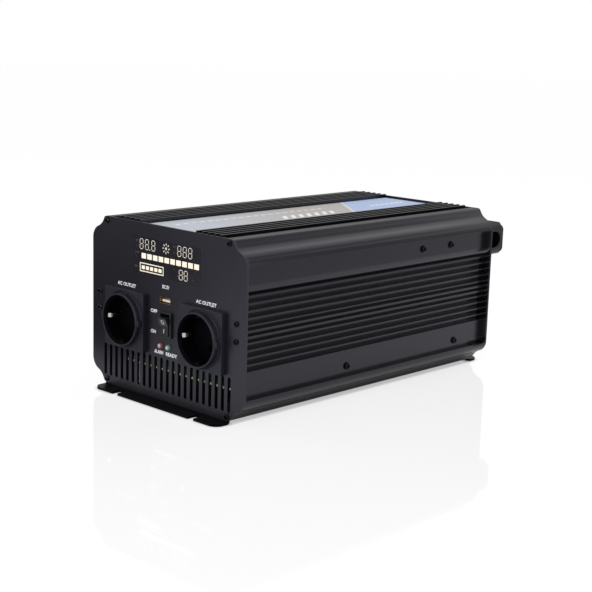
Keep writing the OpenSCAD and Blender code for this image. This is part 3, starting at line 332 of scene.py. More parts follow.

# %% [markdown]
# ## The powder-coated panels
# The end panels and their feet are sheet steel with a black powder coat. The powder melts into
# a skin with a fine orange peel, about 0.7 mm from crest to crest. Modelling the peel would take
# millions of faces, and a bump from a noise shows the same. The coat is a little violet beside the
# neutral case, and duller, so it shows the studio only as a soft gradient. The feet look almost
# dead black in the photograph, so below the bend the coat is painted near black as shade and drawn
# without sheen.

# %% Powder coat


def powder_coat(name, dark, light):
    """Polyester powder coat on sheet steel: orange peel, even satin gloss, soft edges, feet painted near black as
    shade.
    """
    made, tree, shader, place = new_material(name)
    peel_mm = 0.7
    cloud_mm = 45
    foot_top = 3 * MM
    peel = add_node(tree, "ShaderNodeTexNoise",
                    inputs={"Vector": place, "Scale": 1 / (peel_mm * MM), "Detail": 1.0})
    cloud = add_node(tree, "ShaderNodeTexNoise",
                     inputs={"Vector": place, "Scale": 1 / (cloud_mm * MM), "Detail": 3.0})
    shade = add_node(tree, "ShaderNodeMix", {"data_type": "RGBA"},
                     {MIX_FACTOR: cloud.outputs[0], MIX_A: linear(dark), MIX_B: linear(light)})
    gloss = add_node(tree, "ShaderNodeMapRange",
                     inputs={"Value": cloud.outputs[0], "To Min": 0.32, "To Max": 0.4})
    height = add_node(tree, "ShaderNodeSeparateXYZ", inputs={"Vector": place}).outputs["Z"]
    on_shaded_foot = add_node(tree, "ShaderNodeMath", {"operation": "LESS_THAN"}, {0: height, 1: foot_top})
    # Below the bend the feet are painted near black: painted shade.
    colour = add_node(tree, "ShaderNodeMix", {"data_type": "RGBA"},
                      {MIX_FACTOR: on_shaded_foot.outputs["Value"], MIX_A: shade.outputs[MIX_RESULT],
                       MIX_B: linear("#050506")})
    sheen = add_node(tree, "ShaderNodeMapRange",
                     inputs={"Value": on_shaded_foot.outputs["Value"], "To Min": 0.5, "To Max": 0.04})
    edge = add_node(tree, "ShaderNodeBevel", {"samples": 4}, {"Radius": 0.3 * MM})
    bump = add_node(tree, "ShaderNodeBump",
                    inputs={"Height": peel.outputs[0], "Distance": 0.02 * MM, "Strength": 0.5,
                            "Normal": edge.outputs["Normal"]})
    fill_sockets(tree, shader, {"Base Color": colour.outputs[MIX_RESULT],
                                "Roughness": gloss.outputs["Result"],
                                "Normal": bump.outputs["Normal"], "IOR": 1.56,
                                "Specular IOR Level": sheen.outputs["Result"],
                                "Specular Tint": linear("#e4e0fb")})
    return made


powder_black = powder_coat("polyester_powder_coat_black", "#0f0f13", "#141418")
print("panels:", powder_black.name)

# %% [markdown]
# ## The roof label
# The label is a strip of polycarbonate film, printed warm grey, with a blue field towards the
# rear. A slanted white line parts the two. The fields could be cut as separate plates, but the film
# is flat and its print has no height to speak of, so they are drawn in the material: a sum of X and Y
# is compared with the line's place. The grey is a little cooler towards the front.

# %% Printed label film


def label_film(name):
    """Printed film: grey and blue fields with a slanted white line between them."""
    made, tree, shader, place = new_material(name)
    slant = 0.76
    line_y = 57 * MM
    line_half = 1.6 * MM
    front_y = -130 * MM
    dot_mm = 0.9
    parts = add_node(tree, "ShaderNodeSeparateXYZ", inputs={"Vector": place})
    past_line = add_node(tree, "ShaderNodeMath", {"operation": "MULTIPLY_ADD"},
                         {0: parts.outputs["X"], 1: slant, 2: parts.outputs["Y"]})
    is_blue = add_node(tree, "ShaderNodeMath", {"operation": "GREATER_THAN"},
                       {0: past_line.outputs["Value"], 1: line_y})
    is_line = add_node(tree, "ShaderNodeMath", {"operation": "COMPARE"},
                       {0: past_line.outputs["Value"], 1: line_y, 2: line_half})
    dots = add_node(tree, "ShaderNodeTexNoise",
                    inputs={"Vector": place, "Scale": 1 / (dot_mm * MM), "Detail": 1.0})
    fade = add_node(tree, "ShaderNodeMapRange",
                    inputs={"Value": parts.outputs["Y"], "From Min": front_y, "From Max": 0.0})
    drift = add_node(tree, "ShaderNodeMath", {"operation": "MULTIPLY_ADD"},
                     {0: dots.outputs[0], 1: 0.1, 2: fade.outputs["Result"]})
    grey = add_node(tree, "ShaderNodeMix", {"data_type": "RGBA"},
                    {MIX_FACTOR: drift.outputs["Value"], MIX_A: linear("#cdd3dd"),
                     MIX_B: linear("#c4c0bb")})
    blue = add_node(tree, "ShaderNodeMix", {"data_type": "RGBA"},
                    {MIX_FACTOR: dots.outputs[0], MIX_A: linear("#b9cdf0"), MIX_B: linear("#c4d6f6")})
    field = add_node(tree, "ShaderNodeMix", {"data_type": "RGBA"},
                     {MIX_FACTOR: is_blue.outputs["Value"], MIX_A: grey.outputs[MIX_RESULT],
                      MIX_B: blue.outputs[MIX_RESULT]})
    printed = add_node(tree, "ShaderNodeMix", {"data_type": "RGBA"},
                       {MIX_FACTOR: is_line.outputs["Value"], MIX_A: field.outputs[MIX_RESULT],
                        MIX_B: linear("#ececee")})
    bump = add_node(tree, "ShaderNodeBump",
                    inputs={"Height": dots.outputs[0], "Distance": 0.006 * MM, "Strength": 0.3})
    fill_sockets(tree, shader, {"Base Color": printed.outputs[MIX_RESULT], "Normal": bump.outputs["Normal"],
                                "Roughness": 0.38})
    return made


printed_film = label_film("polycarbonate_film_printed")
print("label:", printed_film.name)

# %% [markdown]
# ## The display window
# The window is smoked acrylic, so dark that it reads as black with a clear gloss. A transparent
# material would cost many bounces and show hardly more than black, so this one is opaque, and the
# segments lie on its face. A faint haze keeps it from being one flat colour.

# %% Smoked acrylic window


def smoked_acrylic(name):
    """Cast acrylic, tinted near black and flame-polished, with a faint haze."""
    made, tree, shader, place = new_material(name)
    haze_mm = 12
    haze = add_node(tree, "ShaderNodeTexNoise",
                    inputs={"Vector": place, "Scale": 1 / (haze_mm * MM), "Detail": 3.0})
    shade = add_node(tree, "ShaderNodeMix", {"data_type": "RGBA"},
                     {MIX_FACTOR: haze.outputs[0], MIX_A: linear("#212025"), MIX_B: linear("#28272c")})
    gloss = add_node(tree, "ShaderNodeMapRange",
                     inputs={"Value": haze.outputs[0], "To Min": 0.16, "To Max": 0.26})
    fill_sockets(tree, shader, {"Base Color": shade.outputs[MIX_RESULT],
                                "Roughness": gloss.outputs["Result"],
                                "IOR": 1.49})
    return made


window_acrylic = smoked_acrylic("acrylic_smoked_polished")
print("window:", window_acrylic.name)

# %% [markdown]
# ## The lamps
# The two lamps are diffused epoxy: milky, with a hint of their colour. Light that wanders inside the
# resin leaves the middle pale and the rim darker. That could be traced as a volume, but for lamps of
# five millimetres a blend by the distance from the lamp's axis looks the same.

# %% Diffused lamp resin


def lamp_resin(name, node, core, rim):
    """Diffused epoxy: pale in the middle of the lamp and darker towards its rim."""
    made, tree, shader, place = new_material(name)
    milk_mm = 1.5
    core_r = 0.8 * MM
    rim_r = 2.4 * MM
    milk = add_node(tree, "ShaderNodeTexNoise",
                    inputs={"Vector": place, "Scale": 1 / (milk_mm * MM), "Detail": 2.0})
    offset = add_node(tree, "ShaderNodeVectorMath", {"operation": "SUBTRACT"}, {0: place, 1: middle(node)})
    on_panel = add_node(tree, "ShaderNodeVectorMath", {"operation": "MULTIPLY"},
                        {0: offset.outputs["Vector"], 1: (1, 0, 1)})
    radius = add_node(tree, "ShaderNodeVectorMath", {"operation": "LENGTH"},
                      {0: on_panel.outputs["Vector"]})
    outwards = add_node(tree, "ShaderNodeMapRange",
                        inputs={"Value": radius.outputs["Value"], "From Min": core_r, "From Max": rim_r})
    blend = add_node(tree, "ShaderNodeMath", {"operation": "MULTIPLY_ADD"},
                     {0: milk.outputs[0], 1: 0.3, 2: outwards.outputs["Result"]})
    shade = add_node(tree, "ShaderNodeMix", {"data_type": "RGBA"},
                     {MIX_FACTOR: blend.outputs["Value"], MIX_A: linear(core), MIX_B: linear(rim)})
    fill_sockets(tree, shader, {"Base Color": shade.outputs[MIX_RESULT], "Roughness": 0.22, "IOR": 1.54})
    return made


lamp_red = lamp_resin("epoxy_diffused_red", "led_fault", "#d6b4b4", "#8f5a5e")
lamp_green = lamp_resin("epoxy_diffused_green", "led_power", "#c6d6c9", "#6f8878")
print("lamps:", lamp_red.name, lamp_green.name)

# %% [markdown]
# ## Boards, sleeves and windings
# Through the slots one sees the inside. The boards have green solder mask over copper tracks, and
# their cut edges show the pale glass and resin. The capacitors wear a shrunk vinyl sleeve, and the
# transformers a wrap of polyester tape. Real tracks could be drawn from a circuit plan, but so little
# of them shows that a brick pattern is enough. A wave along Z lets the colour of tape and sleeve drift.

# %% Boards, sleeves and windings


def solder_mask(name, mask_axis):
    """Green solder mask over copper tracks; the cut edges show the pale glass and resin."""
    made, tree, shader, place = new_material(name)
    track_mm = 9
    weave_mm = 1.2
    tracks = add_node(tree, "ShaderNodeTexBrick", {"offset": 0.37},
                      {"Vector": place, "Scale": 1 / (track_mm * MM), "Mortar Size": 0.06,
                       "Color1": linear("#2a5f37"), "Color2": linear("#2f6b3c"),
                       "Mortar": linear("#5b9a55")})
    weave = add_node(tree, "ShaderNodeTexNoise",
                     inputs={"Vector": place, "Scale": 1 / (weave_mm * MM), "Detail": 1.0})
    bump = add_node(tree, "ShaderNodeBump",
                    inputs={"Height": weave.outputs[0], "Distance": 0.02 * MM, "Strength": 0.4})
    facing = add_node(tree, "ShaderNodeVectorMath", {"operation": "ABSOLUTE"},
                      {0: add_node(tree, "ShaderNodeNewGeometry").outputs["True Normal"]})
    parts = add_node(tree, "ShaderNodeSeparateXYZ", inputs={"Vector": facing.outputs["Vector"]})
    is_mask = add_node(tree, "ShaderNodeMath", {"operation": "GREATER_THAN"},
                       {0: parts.outputs[mask_axis], 1: 0.5})
    shade = add_node(tree, "ShaderNodeMix", {"data_type": "RGBA"},
                     {MIX_FACTOR: is_mask.outputs["Value"], MIX_A: linear("#e8dfc4"),
                      MIX_B: tracks.outputs["Color"]})
    fill_sockets(tree, shader, {"Base Color": shade.outputs[MIX_RESULT],
                                "Normal": bump.outputs["Normal"], "Roughness": 0.35})
    return made


def wrapped(name, dark, light, wave_mm, roughness):
    """Tape or sleeve whose colour rises and falls up the piece, once in every 2 pi times wave_mm."""
    made, tree, shader, place = new_material(name)
    # The wave texture goes through twenty radians in each unit of its scaled length.
    wave_radians = 20
    wave = add_node(tree, "ShaderNodeTexWave", {"bands_direction": "Z"},
                    {"Vector": place, "Scale": 1 / (wave_radians * wave_mm * MM), "Distortion": 0.4,
                     "Detail": 2.0})
    shade = add_node(tree, "ShaderNodeMix", {"data_type": "RGBA"},
                     {MIX_FACTOR: wave.outputs["Fac"], MIX_A: linear(dark), MIX_B: linear(light)})
    bump = add_node(tree, "ShaderNodeBump",
                    inputs={"Height": wave.outputs["Fac"], "Distance": 0.1 * MM, "Strength": 0.4})
    fill_sockets(tree, shader, {"Base Color": shade.outputs[MIX_RESULT],
                                "Normal": bump.outputs["Normal"], "Roughness": roughness})
    return made


board_flat = solder_mask("glass_epoxy_board_flat", "Z")
board_upright = solder_mask("glass_epoxy_board_upright", "Y")
winding_tape = wrapped("polyester_tape_yellow", "#c2981c", "#dcb63a", 8, 0.3)
capacitor_sleeve = wrapped("vinyl_sleeve_shrunk_blue", "#2f6ca8", "#4d8fcb", 12, 0.25)
# The fuses have an amber body. The cores are sintered ferrite, rough and dark grey.
fuse_plastic = moulded_plastic("polysulfone_amber", "#b9741f", "#d8943a", 0.25, 1.0)
ferrite = moulded_plastic("ferrite_sintered", "#333335", "#454547", 0.6, 0.5, bump_mm=0.04)
print("finishes for the solids:", len(bpy.data.materials) - loaded_materials)

# %% [markdown]
# ## Give every solid its finish
# Each of the inverter's solids is made of one stuff, and the record says which material slot it
# belongs to. The finishes could be assigned one by one, but a table from slot to finish covers all
# the solids in one loop, and a missing slot stops the script at once.

# %% Assign the finishes

finishes = {
    "anodised_black": anodised_black,
    "powder_black": powder_black,
    "black_screw": black_zinc,
    "label_film": printed_film,
    "socket_black": socket_polyamide,
    "clip_steel": nickel_steel,
    "contact_brass": turned_brass,
    "window_smoke": window_acrylic,
    "display_dark": display_epoxy,
    "board_green": board_flat,
    "bright_steel": zinc_steel,
    "usb_cream": tongue_polymer,
    "switch_black": switch_polyamide,
    "led_red": lamp_red,
    "led_green": lamp_green,
    "fan_black": fan_polyester,
    "guard_wire": chrome_wire,
    "insulator_black": vinyl_black,
    "insulator_red": vinyl_red,
    "copper": rolled_copper,
    "ferrite": ferrite,
    "winding_tape": winding_tape,
    "sleeve_blue": capacitor_sleeve,
    "choke_white": nylon_white,
    "bar_aluminium": mill_aluminium,
    "package_black": package_epoxy,
    "fuse_amber": fuse_plastic,
}
# Two nodes differ from the rest of their slot: the port's shell, and the board that stands upright.
special = {"usb_shell": port_bronze, "front_board": board_upright}
for subpart in frame["record"]["subparts"]:
    node = subpart["node"]
    solid = frame["nodes"][node]
    solid.data.materials.clear()
    solid.data.materials.append(special.get(node, finishes[subpart["material_slot"]]))

# %% [markdown]
# ## A way to print on a face
# Legends, display segments and signs are all flat shapes on a face. They could be painted by a
# material, but each would need its own pattern of nodes. A shape of its own keeps sharp edges at
# any distance. So each shape is a list of outlines in millimetres, and becomes a thin closed plate
# that stands 0.05 mm proud, as a screen print does. A face is a point and two directions, right and up.

# %% Faces and printed shapes

PRINT_RISE = 0.05 * MM
PRINT_SINK = 0.03 * MM
scene = bpy.context.scene


def face_matrix(origin, right, up):
    """The matrix from a face's own right, up and outward directions to the frame."""
    right = Vector(right).normalized()
    up = Vector(up).normalized()
    out = right.cross(up)
    return Matrix.Translation(origin) @ Matrix((right, up, out)).transposed().to_4x4()


def finish_piece(name, mesh, material, body):
    """Makes an object of a mesh, gives it a material and lets it ride on a body."""
    made = bpy.data.objects.new(name, mesh)
    scene.collection.objects.link(made)
    mesh.materials.clear()
    mesh.materials.append(material)
    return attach(made, body)


def print_shapes(name, outlines, face, material, body):
    """Thin plates on a face from outlines in millimetres, all in one piece."""
    shape = bmesh.new()
    for outline in outlines:
        lower = [shape.verts.new((x * MM, y * MM, -PRINT_SINK)) for x, y in outline]
        upper = [shape.verts.new((x * MM, y * MM, PRINT_RISE)) for x, y in outline]
        shape.faces.new(upper)
        shape.faces.new(lower[::-1])
        for i in range(len(outline)):
            j = (i + 1) % len(outline)
            shape.faces.new((lower[i], lower[j], upper[j], upper[i]))
    bmesh.ops.recalc_face_normals(shape, faces=shape.faces)
    mesh = bpy.data.meshes.new(name)
    shape.to_mesh(mesh)
    shape.free()
    mesh.transform(face)
    return finish_piece(name, mesh, material, body)


front_face = face_matrix((0, panel_y, 0), (1, 0, 0), (0, 0, 1))
window_face = face_matrix((window.x, panel_y, window.z), (1, 0, 0), (0, 0, 1))
roof_face = face_matrix((0, 0, label_top), (1, 0, 0), (0, 1, 0))
print("print stands", round(PRINT_RISE / MM, 3), "mm proud")

# %% [markdown]
# ## Inks
# Screen ink is a thick matt paint, white on the panel and bluish white on the rocker. The display's
# segments are pale plastic that shows through the window, and light from behind makes them warm
# white. Lamps behind a mask could do the same, but the window is opaque here, so a trace of light of
# their own stands for the backlight. The display's unit signs are unlit and dim.

# %% Ink materials


def screen_ink(name, dark, light, glow=0.0):
    """Matt screen ink with slightly uneven cover; glow stands for light from behind."""
    made, tree, shader, place = new_material(name)
    cover_mm = 0.8
    cover = add_node(tree, "ShaderNodeTexNoise",
                     inputs={"Vector": place, "Scale": 1 / (cover_mm * MM), "Detail": 2.0})
    shade = add_node(tree, "ShaderNodeMix", {"data_type": "RGBA"},
                     {MIX_FACTOR: cover.outputs[0], MIX_A: linear(dark), MIX_B: linear(light)})
    fill_sockets(tree, shader, {"Base Color": shade.outputs[MIX_RESULT], "Roughness": 0.6})
    if glow:
        fill_sockets(tree, shader, {"Emission Color": linear(light), "Emission Strength": glow})
    return made


ink_white = screen_ink("screen_ink_white", "#f0f1f4", "#fdfdff")
ink_blue_white = screen_ink("screen_ink_blue_white", "#c3c9de", "#d9deee")
segment_warm = screen_ink("display_segment_warm_white", "#e6dcc6", "#f6eedb", glow=0.3)
segment_dim = screen_ink("display_segment_dim_white", "#cfc6b8", "#e4dbcc", glow=0.2)
sign_dim = screen_ink("display_sign_unlit", "#4a4850", "#5b5962")
print("finishes with the inks:", len(bpy.data.materials) - loaded_materials)

# %% [markdown]
# ## Legends on the front panel
# The panel has small white function words in plain capitals: over each socket, over the port, beside
# the switch and under the lamps. Letters could be drawn as outlines, but Blender has plain letters
# built in, and a word made of them becomes a mesh that is stretched to its width and cap height.
# Each line gives the word, the left end, the base line and the width, in millimetres on the panel.

# %% Print the legends


def print_word(name, word, face, left, base, width, height, material, body, bold=False):
    """A word in the plain built-in letters, fitted to a width and cap height in millimetres."""
    letters = bpy.data.curves.new(name, "FONT")
    letters.body = word
    letters.size = 1.0
    letters.extrude = 0.5
    letters.offset = 0.03 if bold else 0.0
    letters.resolution_u = 3
    holder = bpy.data.objects.new(name, letters)
    mesh = bpy.data.meshes.new_from_object(holder)
    bpy.data.objects.remove(holder)
    bpy.data.curves.remove(letters)
    corners = [vertex.co for vertex in mesh.vertices]
    low_x = min(corner.x for corner in corners)
    high_x = max(corner.x for corner in corners)
    high_y = max(corner.y for corner in corners)
    across = width * MM / (high_x - low_x)
    fit = Matrix.Diagonal((across, height * MM / high_y, PRINT_RISE + PRINT_SINK, 1))
    start = Matrix.Translation((left * MM - low_x * across, base * MM, (PRINT_RISE - PRINT_SINK) / 2))
    mesh.transform(face @ start @ fit)
    return finish_piece(name, mesh, material, body)


legend_cap = 2.9
legends = {
    "legend_socket_left": ("AC OUTLET", -61.1, 91.6, 24.0),
    "legend_socket_right": ("AC OUTLET", 37.4, 91.6, 24.0),
    "legend_port": ("DC 5V", -3.6, 96.9, 8.6),
    "legend_off": ("OFF", -17.9, 75.0, 8.2),
    "legend_on": ("ON", -17.5, 57.8, 6.2),
    "legend_lamp_left": ("ALARM", -12.9, 41.5, 11.2),
    "legend_lamp_right": ("READY", 1.6, 41.5, 14.0),
}
for name, (word, left, base, width) in legends.items():
    print_word(name, word, front_face, left, base, width, legend_cap, ink_white, "inverter", bold=True)
print("legends:", len(legends))

# %% [markdown]
# ## The display's digits
# The display shows every segment at once, as it does for a second when it is switched on. Its
# digits stand in two rows and have seven bars each. A display font could be loaded, but the bars with
# their pointed ends are quickly drawn, and then their thickness and gaps can be set. Places are in
# millimetres from the middle of the window.

# %% Seven-segment digits


def bar(x, y, width, height):
    """A rectangle around a middle."""
    w = width / 2
    h = height / 2
    return [(x - w, y - h), (x + w, y - h), (x + w, y + h), (x - w, y + h)]


def digit(x, y, width=4.6, height=8.8, thick=0.6, gap=0.35):
    """The seven bars of one digit around a middle, each with pointed ends."""
    t = thick / 2
    half_w = (width - thick) / 2
    half_h = (height - thick) / 2

    def flat(cx, cy):
        w = half_w - gap
        return [(cx - w, cy), (cx - w + t, cy - t), (cx + w - t, cy - t),
                (cx + w, cy), (cx + w - t, cy + t), (cx - w + t, cy + t)]

    def upright(cx, cy):
        h = half_h / 2 - gap
        return [(cx, cy - h), (cx + t, cy - h + t), (cx + t, cy + h - t),
                (cx, cy + h), (cx - t, cy + h - t), (cx - t, cy - h + t)]

    flats = [flat(x, y + row * half_h) for row in (-1, 0, 1)]
    uprights = [upright(x + side * half_w, y + row * half_h / 2) for side in (-1, 1) for row in (-1, 1)]
    return flats + uprights


upper_row = 9.8
lower_row = -9.1
lower_height = 8.4
left_digits = (-30.2, -23.3, -15.3)
right_digits = (16.7, 23.3, 29.8)
lower_digits = (18.9, 24.8)
point_x = -19.6
point_drop = 4.0
point_size = 0.9
digits = [shape for x in left_digits + right_digits for shape in digit(x, upper_row)]
digits += [shape for x in lower_digits for shape in digit(x, lower_row, height=lower_height)]
digits.append(bar(point_x, upper_row - point_drop, point_size, point_size))
print_shapes("display_digits", digits, window_face, segment_dim, "inverter")
print("bars and points of the digits:", len(digits))

# %% [markdown]
# ## Squares, battery and fan sign
# Across the middle of the display runs a bar of ten squares, under it a battery with five cells, and
# between the upper digits stands a sign for the fan. All are rows or rings of one small outline. The
# battery's frame is a plate with a hole, which a single outline can't be, so a frame is made of the
# quads between an outer and an inner outline.

# %% Squares, battery and fan sign


def ring(points_outer, points_inner):
    """The quads between two outlines with the same number of points."""
    count = len(points_outer)
    pairs = [(i, (i + 1) % count) for i in range(count)]
    return [[points_outer[i], points_outer[j], points_inner[j], points_inner[i]] for i, j in pairs]


def circle(radius, steps, centre=(0, 0)):
    """Points round a centre."""
    turns = [math.tau * i / steps for i in range(steps)]
    return [(centre[0] + radius * math.cos(turn), centre[1] + radius * math.sin(turn)) for turn in turns]


squares = 10
square_pitch = 7.19
square_w = 5.7
square_h = 4.4
first_square = -27.2
square_row = 0.1
square_places = [first_square + i * square_pitch for i in range(squares)]
square_bar = [bar(x, square_row, square_w, square_h) for x in square_places]
print_shapes("display_bar", square_bar, window_face, segment_warm, "inverter")

cells = 5
cell_pitch = 5.28
cell_w = 3.9
cell_h = 3.0
cell_drop = 0.1
battery_x = -17.2
battery_y = -9.45
battery_w = 29.8
battery_h = 7.4
rim = 0.8
cell_places = [battery_x + (i - (cells - 1) / 2) * cell_pitch for i in range(cells)]
battery = [bar(x, battery_y - cell_drop, cell_w, cell_h) for x in cell_places]
battery += ring(bar(battery_x, battery_y, battery_w, battery_h),
                bar(battery_x, battery_y, battery_w - 2 * rim, battery_h - 2 * rim))
print_shapes("display_battery", battery, window_face, segment_warm, "inverter")

fan_blades = 8
fan_middle = (0.6, 9.7)
fan_hub_r = 1.1


def fan_blade(turn):
    """One blade of the fan sign: a leaf that leans with the turning direction."""
    outline = [(2.5, -0.2), (3.4, -0.7), (4.2, -0.4), (4.5, 0.3), (3.4, 0.35), (2.6, 0.2)]
    return [(fan_middle[0] + r * math.cos(turn) - t * math.sin(turn),
             fan_middle[1] + r * math.sin(turn) + t * math.cos(turn)) for r, t in outline]


fan_sign = [fan_blade(math.tau * i / fan_blades) for i in range(fan_blades)]
fan_sign.append(circle(fan_hub_r, steps=12, centre=fan_middle))
print_shapes("display_fan_sign", fan_sign, window_face, segment_dim, "inverter")
print("squares:", squares, "cells:", cells, "blades:", fan_blades)

# %% [markdown]
# ## Unit signs
# Beside the digits and bars stand tiny words and units, hardly lit. They could be drawn one by one,
# but at this size only their place and greyness show. So they are the same plain letters as the
# legends, all of one height, with a width for each letter.

# %% Print the unit signs

sign_cap = 1.6
sign_letter = 1.25
signs = {
    "sign_in": ("IN", -37.6, 11.2),
    "sign_in_unit": ("V", -37.2, 6.4),
    "sign_out": ("OUT", 9.0, 12.0),
    "sign_out_unit": ("V", 9.6, 6.6),
    "sign_load": ("LOAD", -38.2, 1.4),
    "sign_load_unit": ("%", -36.8, -2.0),
    "sign_cell": ("BAT", -38.4, -10.4),
    "sign_heat": ("T", 10.0, -7.0),
    "sign_heat_unit": ("C", 32.8, -12.2),
}
for name, (word, left, base) in signs.items():
    width = sign_letter * len(word)
    print_word(name, word, window_face, left, base, width, sign_cap, sign_dim, "inverter")
print("unit signs:", len(signs))

# %% [markdown]
# ## The rocker's marks
# The rocker is printed with a ring for off and a stroke for on, the common pair of signs. They
# lie on the rocker's two faces, which slope away from a ridge in the middle, and they ride on the
# rocker, so they tilt with it. At rest the switch is on: the lower face lies parallel to the panel.
# The marks could be modelled flat and turned afterwards, but a face matrix puts them in place at once.

# %% Ring and stroke on the rocker

rocker_tilt = math.radians(11)
ridge = 5.0
stroke_down = 4.1
stroke_w = 0.7
stroke_h = 3.4
ring_up = 3.9
ring_r = 2.0
ring_line = 0.6
ring_steps = 24


def rocker_face(slope, along):
    """A face matrix on the rocker: slope is that face's own angle, along the way up from the ridge."""
    lean = rocker_tilt + slope
    up_on_face = Vector((0, -math.sin(lean), math.cos(lean)))
    ridge_point = Vector((0, -math.cos(rocker_tilt), -math.sin(rocker_tilt))) * ridge * MM
    return face_matrix(rocker_pivot + ridge_point + up_on_face * along * MM, (1, 0, 0), up_on_face)


upper_face = rocker_face(rocker_tilt, ring_up)
lower_face = rocker_face(-rocker_tilt, -stroke_down)
off_ring = ring(circle(ring_r, ring_steps), circle(ring_r - ring_line, ring_steps))
on_stroke = bar(0, 0, stroke_w, stroke_h)
print_shapes("rocker_ring", off_ring, upper_face, ink_blue_white, "rocker")
print_shapes("rocker_stroke", [on_stroke], lower_face, ink_blue_white, "rocker")
print("rocker tilt at rest:", round(math.degrees(rocker_tilt), 1), "degrees")

# %% [markdown]
# ## The label's print
# The label carries white print on its fields. Here it is plain bars: a row of thin dashes along the
# grey, one group of broad leaning bars beside it and a short row on the blue. These could be drawn in
# the film's material like the fields, but each bar would take several nodes. As plates they come from
# one small function that repeats a parallelogram along the label.

# %% Print on the label


def leaning_row(x, first, pitch, count, across, along, lean):
    """A row of parallelograms along the label, with their left sides set towards the rear."""
    a = across / 2
    b = along / 2
    places = [first + pitch * i for i in range(count)]
    return [[(x - a, y - b + lean), (x + a, y - b - lean), (x + a, y + b - lean), (x - a, y + b + lean)]
            for y in places]


dash_row = leaning_row(x=-13, first=-140, pitch=9, count=20, across=2.2, along=5.5, lean=0.4)
broad_bars = leaning_row(x=9, first=-36, pitch=10, count=7, across=13, along=5, lean=5)
blue_stripe = leaning_row(x=0, first=90, pitch=7, count=7, across=4, along=4.5, lean=1)
print_shapes("label_dashes", dash_row, roof_face, ink_white, "inverter")
print_shapes("label_bars", broad_bars, roof_face, ink_white, "inverter")
print_shapes("label_stripe", blue_stripe, roof_face, ink_white, "inverter")
print("bars on the label:", len(dash_row) + len(broad_bars) + len(blue_stripe))

# %% [markdown]
# ## Signs on the rear
# The rear panel has the common signs for the poles and the earth, so that a cable goes on the
# right stud. A plus and a minus are printed below the covers, and the earth sign beside its stud.
# A plus could be two bars that cross, but where they overlap their faces would lie in one plane and
# render badly. So it is one long bar and two short ones that meet it.

# %% Print the rear signs

rear_panel_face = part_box("fan_guard")[0].y
rear_face = face_matrix((0, rear_panel_face, 0), (-1, 0, 0), (0, 0, 1))
neg = middle("stud_neg") / MM
pos = middle("stud_pos") / MM
earth = middle("earth_nut") / MM
sign_drop = 22
sign_size = 7.0
sign_line = 1.4
sign_arm = (sign_size - sign_line) / 2
arm_rise = (sign_line + sign_arm) / 2
plus_z = pos.z - sign_drop
minus_sign = [bar(-neg.x, neg.z - sign_drop, sign_size, sign_line)]
plus_sign = [bar(-pos.x, plus_z, sign_size, sign_line)]
plus_sign += [bar(-pos.x, plus_z + side * arm_rise, sign_line, sign_arm) for side in (1, -1)]
print_shapes("sign_minus", minus_sign, rear_face, ink_white, "inverter")
print_shapes("sign_plus", plus_sign, rear_face, ink_white, "inverter")

earth_gap = 13
earth_line = 0.9
earth_pitch = 1.7
earth_w = 7.2
earth_taper = 2.3
lead_length = 4.4
lead_rise = 2.6
earth_x = -earth.x + earth_gap
earth_sign = [bar(earth_x, earth.z + lead_rise, earth_line, lead_length)]
for i in range(3):
    earth_sign.append(bar(earth_x, earth.z - earth_pitch * i, earth_w - earth_taper * i, earth_line))
print_shapes("sign_earth", earth_sign, rear_face, ink_white, "inverter")
print("rear signs at y =", round(rear_panel_face / MM, 2), "mm")

# %% [markdown]
# ## Camera
# The camera was found by matching the case's edges with the photograph: a lens of 1316 pixels
# on a picture 592 pixels wide, 44 degrees round to the right and 11 degrees up, with a slight roll.
# It could be aimed with a Track To constraint, but that keeps a camera level. So its three directions
# are worked out and put into its matrix. Its place is measured from the face of the front panel.

# %% Place the camera

PICTURE = 592
focal_pixels = 1316.47
turn = math.radians(43.63)
rise = math.radians(11.48)
roll = math.radians(1.73)
camera_place = Vector((798.37, -683.73, 306.55)) * MM + Vector((0, panel_y, 0))

back = Vector((math.sin(turn) * math.cos(rise), -math.cos(turn) * math.cos(rise), math.sin(rise)))
level = Vector((math.cos(turn), math.sin(turn), 0))
upright = back.cross(level)
right = math.cos(roll) * level + math.sin(roll) * upright
up = -math.sin(roll) * level + math.cos(roll) * upright

lens = bpy.data.cameras.new("camera")
lens.sensor_width = 36.0
lens.lens = focal_pixels / PICTURE * lens.sensor_width
lens.clip_start = 0.01
lens.clip_end = 100.0
camera = bpy.data.objects.new("camera", lens)
camera.matrix_world = Matrix.Translation(camera_place) @ Matrix((right, up, back)).transposed().to_4x4()
scene.collection.objects.link(camera)
scene.camera = camera
print("lens:", round(lens.lens, 1), "mm")

# %% [markdown]
# ## Lamps
# The photograph has a white sweep and large soft lamps. One lamp hangs behind the case and lights
# the roof, a second grazes the front from the left. Two small ones on either side
# of the camera fill the slots and put a faint glint on the screw heads. Point lamps would throw hard
# shadows, so all are area lamps. The large ones are kept out of reflections, where their outlines
# would show as bright rectangles on the black case.

# %% Lamps


def soft_lamp(name, place, target, width, height, power, mirrored=False):
    """A rectangular lamp that looks at a target; reflections show it only where mirrored is set."""
    lamp = bpy.data.lights.new(name, "AREA")
    lamp.shape = "RECTANGLE"
    lamp.size = width
    lamp.size_y = height
    lamp.energy = power
    holder = bpy.data.objects.new(name, lamp)
    holder.location = place
    holder.rotation_euler = (Vector(target) - Vector(place)).to_track_quat("-Z", "Y").to_euler()
    holder.visible_glossy = mirrored
    scene.collection.objects.link(holder)
    return holder


